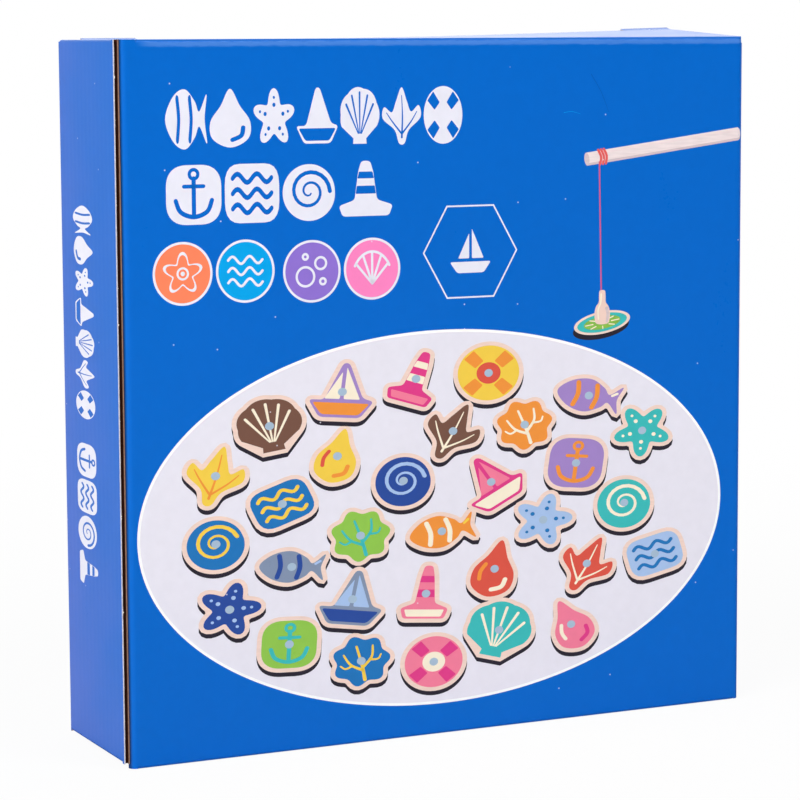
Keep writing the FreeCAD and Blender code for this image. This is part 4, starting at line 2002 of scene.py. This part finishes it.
@dataclass
class Studio:
    """The floor, the lamps, the world's light and the camera.

    The camera's own values are in pixels of the picture, degrees and metres, and the light's are
    strengths.
    """

    focal_pixels: float = 2924.0
    picture_pixels: int = 800
    sensor: float = 36.0
    principal_point: Point = (410.0, 380.0)
    azimuth: float = 25.5524
    elevation: float = 6.6821
    roll: float = -0.2658
    eye: tuple[float, float, float] = (-0.40393, -0.84435, 0.22021)
    ambient: float = 0.40
    ambient_front: float = 0.12
    shown_back: float = 1.0
    shown_side: float = 0.55
    shown_front: float = 0.02
    floor_reach: float = 20.0
    floor_tone: tuple[float, float, float] = (0.86, 0.86, 0.87)
    lamps: tuple[Lamp, ...] = (
        Lamp("key", azimuth=-60.0, height=1.3, distance=1.9, size=1.3, watts=40.0),
        Lamp("fill", azimuth=32.0, height=1.6, distance=1.5, size=0.8, watts=16.0),
        Lamp("back", azimuth=152.0, height=0.75, distance=2.0, size=1.5, watts=7.0),
    )

    def camera(self) -> None:
        """Sets the camera where the photograph was taken from."""
        az, el, roll = (math.radians(a) for a in (self.azimuth, self.elevation, self.roll))
        ahead = Vector((math.sin(az) * math.cos(el), math.cos(az) * math.cos(el), -math.sin(el)))
        level = ahead.cross(Vector((0, 0, 1))).normalized()
        upright = level.cross(ahead)
        right = level * math.cos(roll) + upright * math.sin(roll)
        up = upright * math.cos(roll) - level * math.sin(roll)
        data = bpy.data.cameras.new("camera")
        data.sensor_width = self.sensor
        data.lens = self.focal_pixels / self.picture_pixels * self.sensor
        half = self.picture_pixels / 2
        data.shift_x = (half - self.principal_point[0]) / self.picture_pixels
        data.shift_y = (self.principal_point[1] - half) / self.picture_pixels
        data.clip_start, data.clip_end = 0.05, 50.0
        camera = bpy.data.objects.new("camera", data)
        turn = Matrix((right, up, -ahead)).transposed().to_4x4()
        camera.matrix_world = Matrix.Translation(self.eye) @ turn
        bpy.context.scene.collection.objects.link(camera)
        bpy.context.scene.camera = camera

    def mirrored(self, behind: Wire, left: Wire) -> Wire:
        """How bright the studio looks in a reflection.

        Args:
            behind: 1 behind the box and 0 in front of it.
            left: 1 to the left of the box.

        Returns:
            The strength of the light.
        """
        back = self.shown_back - left * (self.shown_back - self.shown_side)
        return self.shown_front + behind * (back - self.shown_front)

    def floor(self) -> None:
        """A wide pale floor that shows white to the camera and keeps a faint shadow."""
        far = self.floor_reach
        corners = [Vector((x, y, 0)) for x, y in ((-far, -far), (far, -far), (far, far), (-far, far))]
        piece = new_piece("studio_floor", corners, [(0, 1, 2, 3)])
        shader = Shader.named("studio_floor")
        where, x, y, _ = shader.place()
        tone = 1.0 + shader.noise(where, 3.0, 2.0).swing(0.01)
        pale = shader.shaded(self.floor_tone, tone)
        matt = shader.add("ShaderNodeBsdfDiffuse", inputs={"Color": pale})
        camera, glossy = shader.ray("Camera"), shader.ray("Glossy")
        metre = 1 / MM
        away = ((x * x + y * y).root() / metre).over(0.42, 0.3)
        beside = x.under(BOX.left - 4.0, 3.0)
        behind = (y / metre).over(0.07, 0.07) | beside
        strength = camera + glossy * self.mirrored(behind, beside)
        inputs = {"Color": (1.0, 1.0, 1.0, 1.0), "Strength": strength}
        white = shader.add("ShaderNodeEmission", inputs=inputs)
        share = camera * (0.94 + away * 0.06) + glossy
        surface = shader.add("ShaderNodeMixShader", inputs={0: share, 1: matt, 2: white})
        piece.data.materials.append(shader.close(surface))

    def world(self) -> None:
        """Even light all round, white to the camera, and the studio's two halves in reflections."""
        world = bpy.data.worlds.new("studio")
        shader = Shader(world)
        x, y, _ = shader.split(shader.add("ShaderNodeTexCoord", output="Generated"))
        behind, left = y.over(-0.15, 0.35), x.under(0.0, 0.3)
        seen, glossy = shader.ray("Camera") | shader.ray("Transmission"), shader.ray("Glossy")
        even = self.ambient_front + behind * (self.ambient - self.ambient_front)
        strength = seen + glossy * self.mirrored(behind, left) + (1.0 - (seen | glossy)) * even
        inputs = {"Color": (1.0, 1.0, 1.0, 1.0), "Strength": strength}
        light = shader.add("ShaderNodeBackground", inputs=inputs)
        bpy.context.scene.world = shader.close(light, "ShaderNodeOutputWorld")

    def build(self) -> None:
        """Sets up the whole studio."""
        self.camera()
        self.floor()
        self.world()
        for lamp in self.lamps:
            lamp.build()
        bpy.context.scene.view_settings.view_transform = "Standard"


def dress(node: str, material: bpy.types.Material) -> None:
    """Gives a node of the frame its finish.

    Args:
        node: The node's name.
        material: The finish.
    """
    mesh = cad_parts[node].data
    if not mesh.materials:
        mesh.materials.append(material)
    for i in range(len(mesh.materials)):
        mesh.materials[i] = material
    log.info("%s is finished with %s", node, material.name)


def main() -> None:
    """Builds the looks in order: board, print, crease, seam and studio."""
    logging.basicConfig(level=logging.INFO, format="%(name)s: %(message)s")
    palette = Palette()
    board = BoardFinish()
    dress(CARTON, board.carton())
    dress(LID, board.lid())
    FrontPrint(palette).build()
    SidePrint(palette).build()
    LidCrease(CreaseFinish().material(), board.liner_only()).build()
    SeamFray().build()
    Studio().build()


if __name__ == "__main__":
    main()
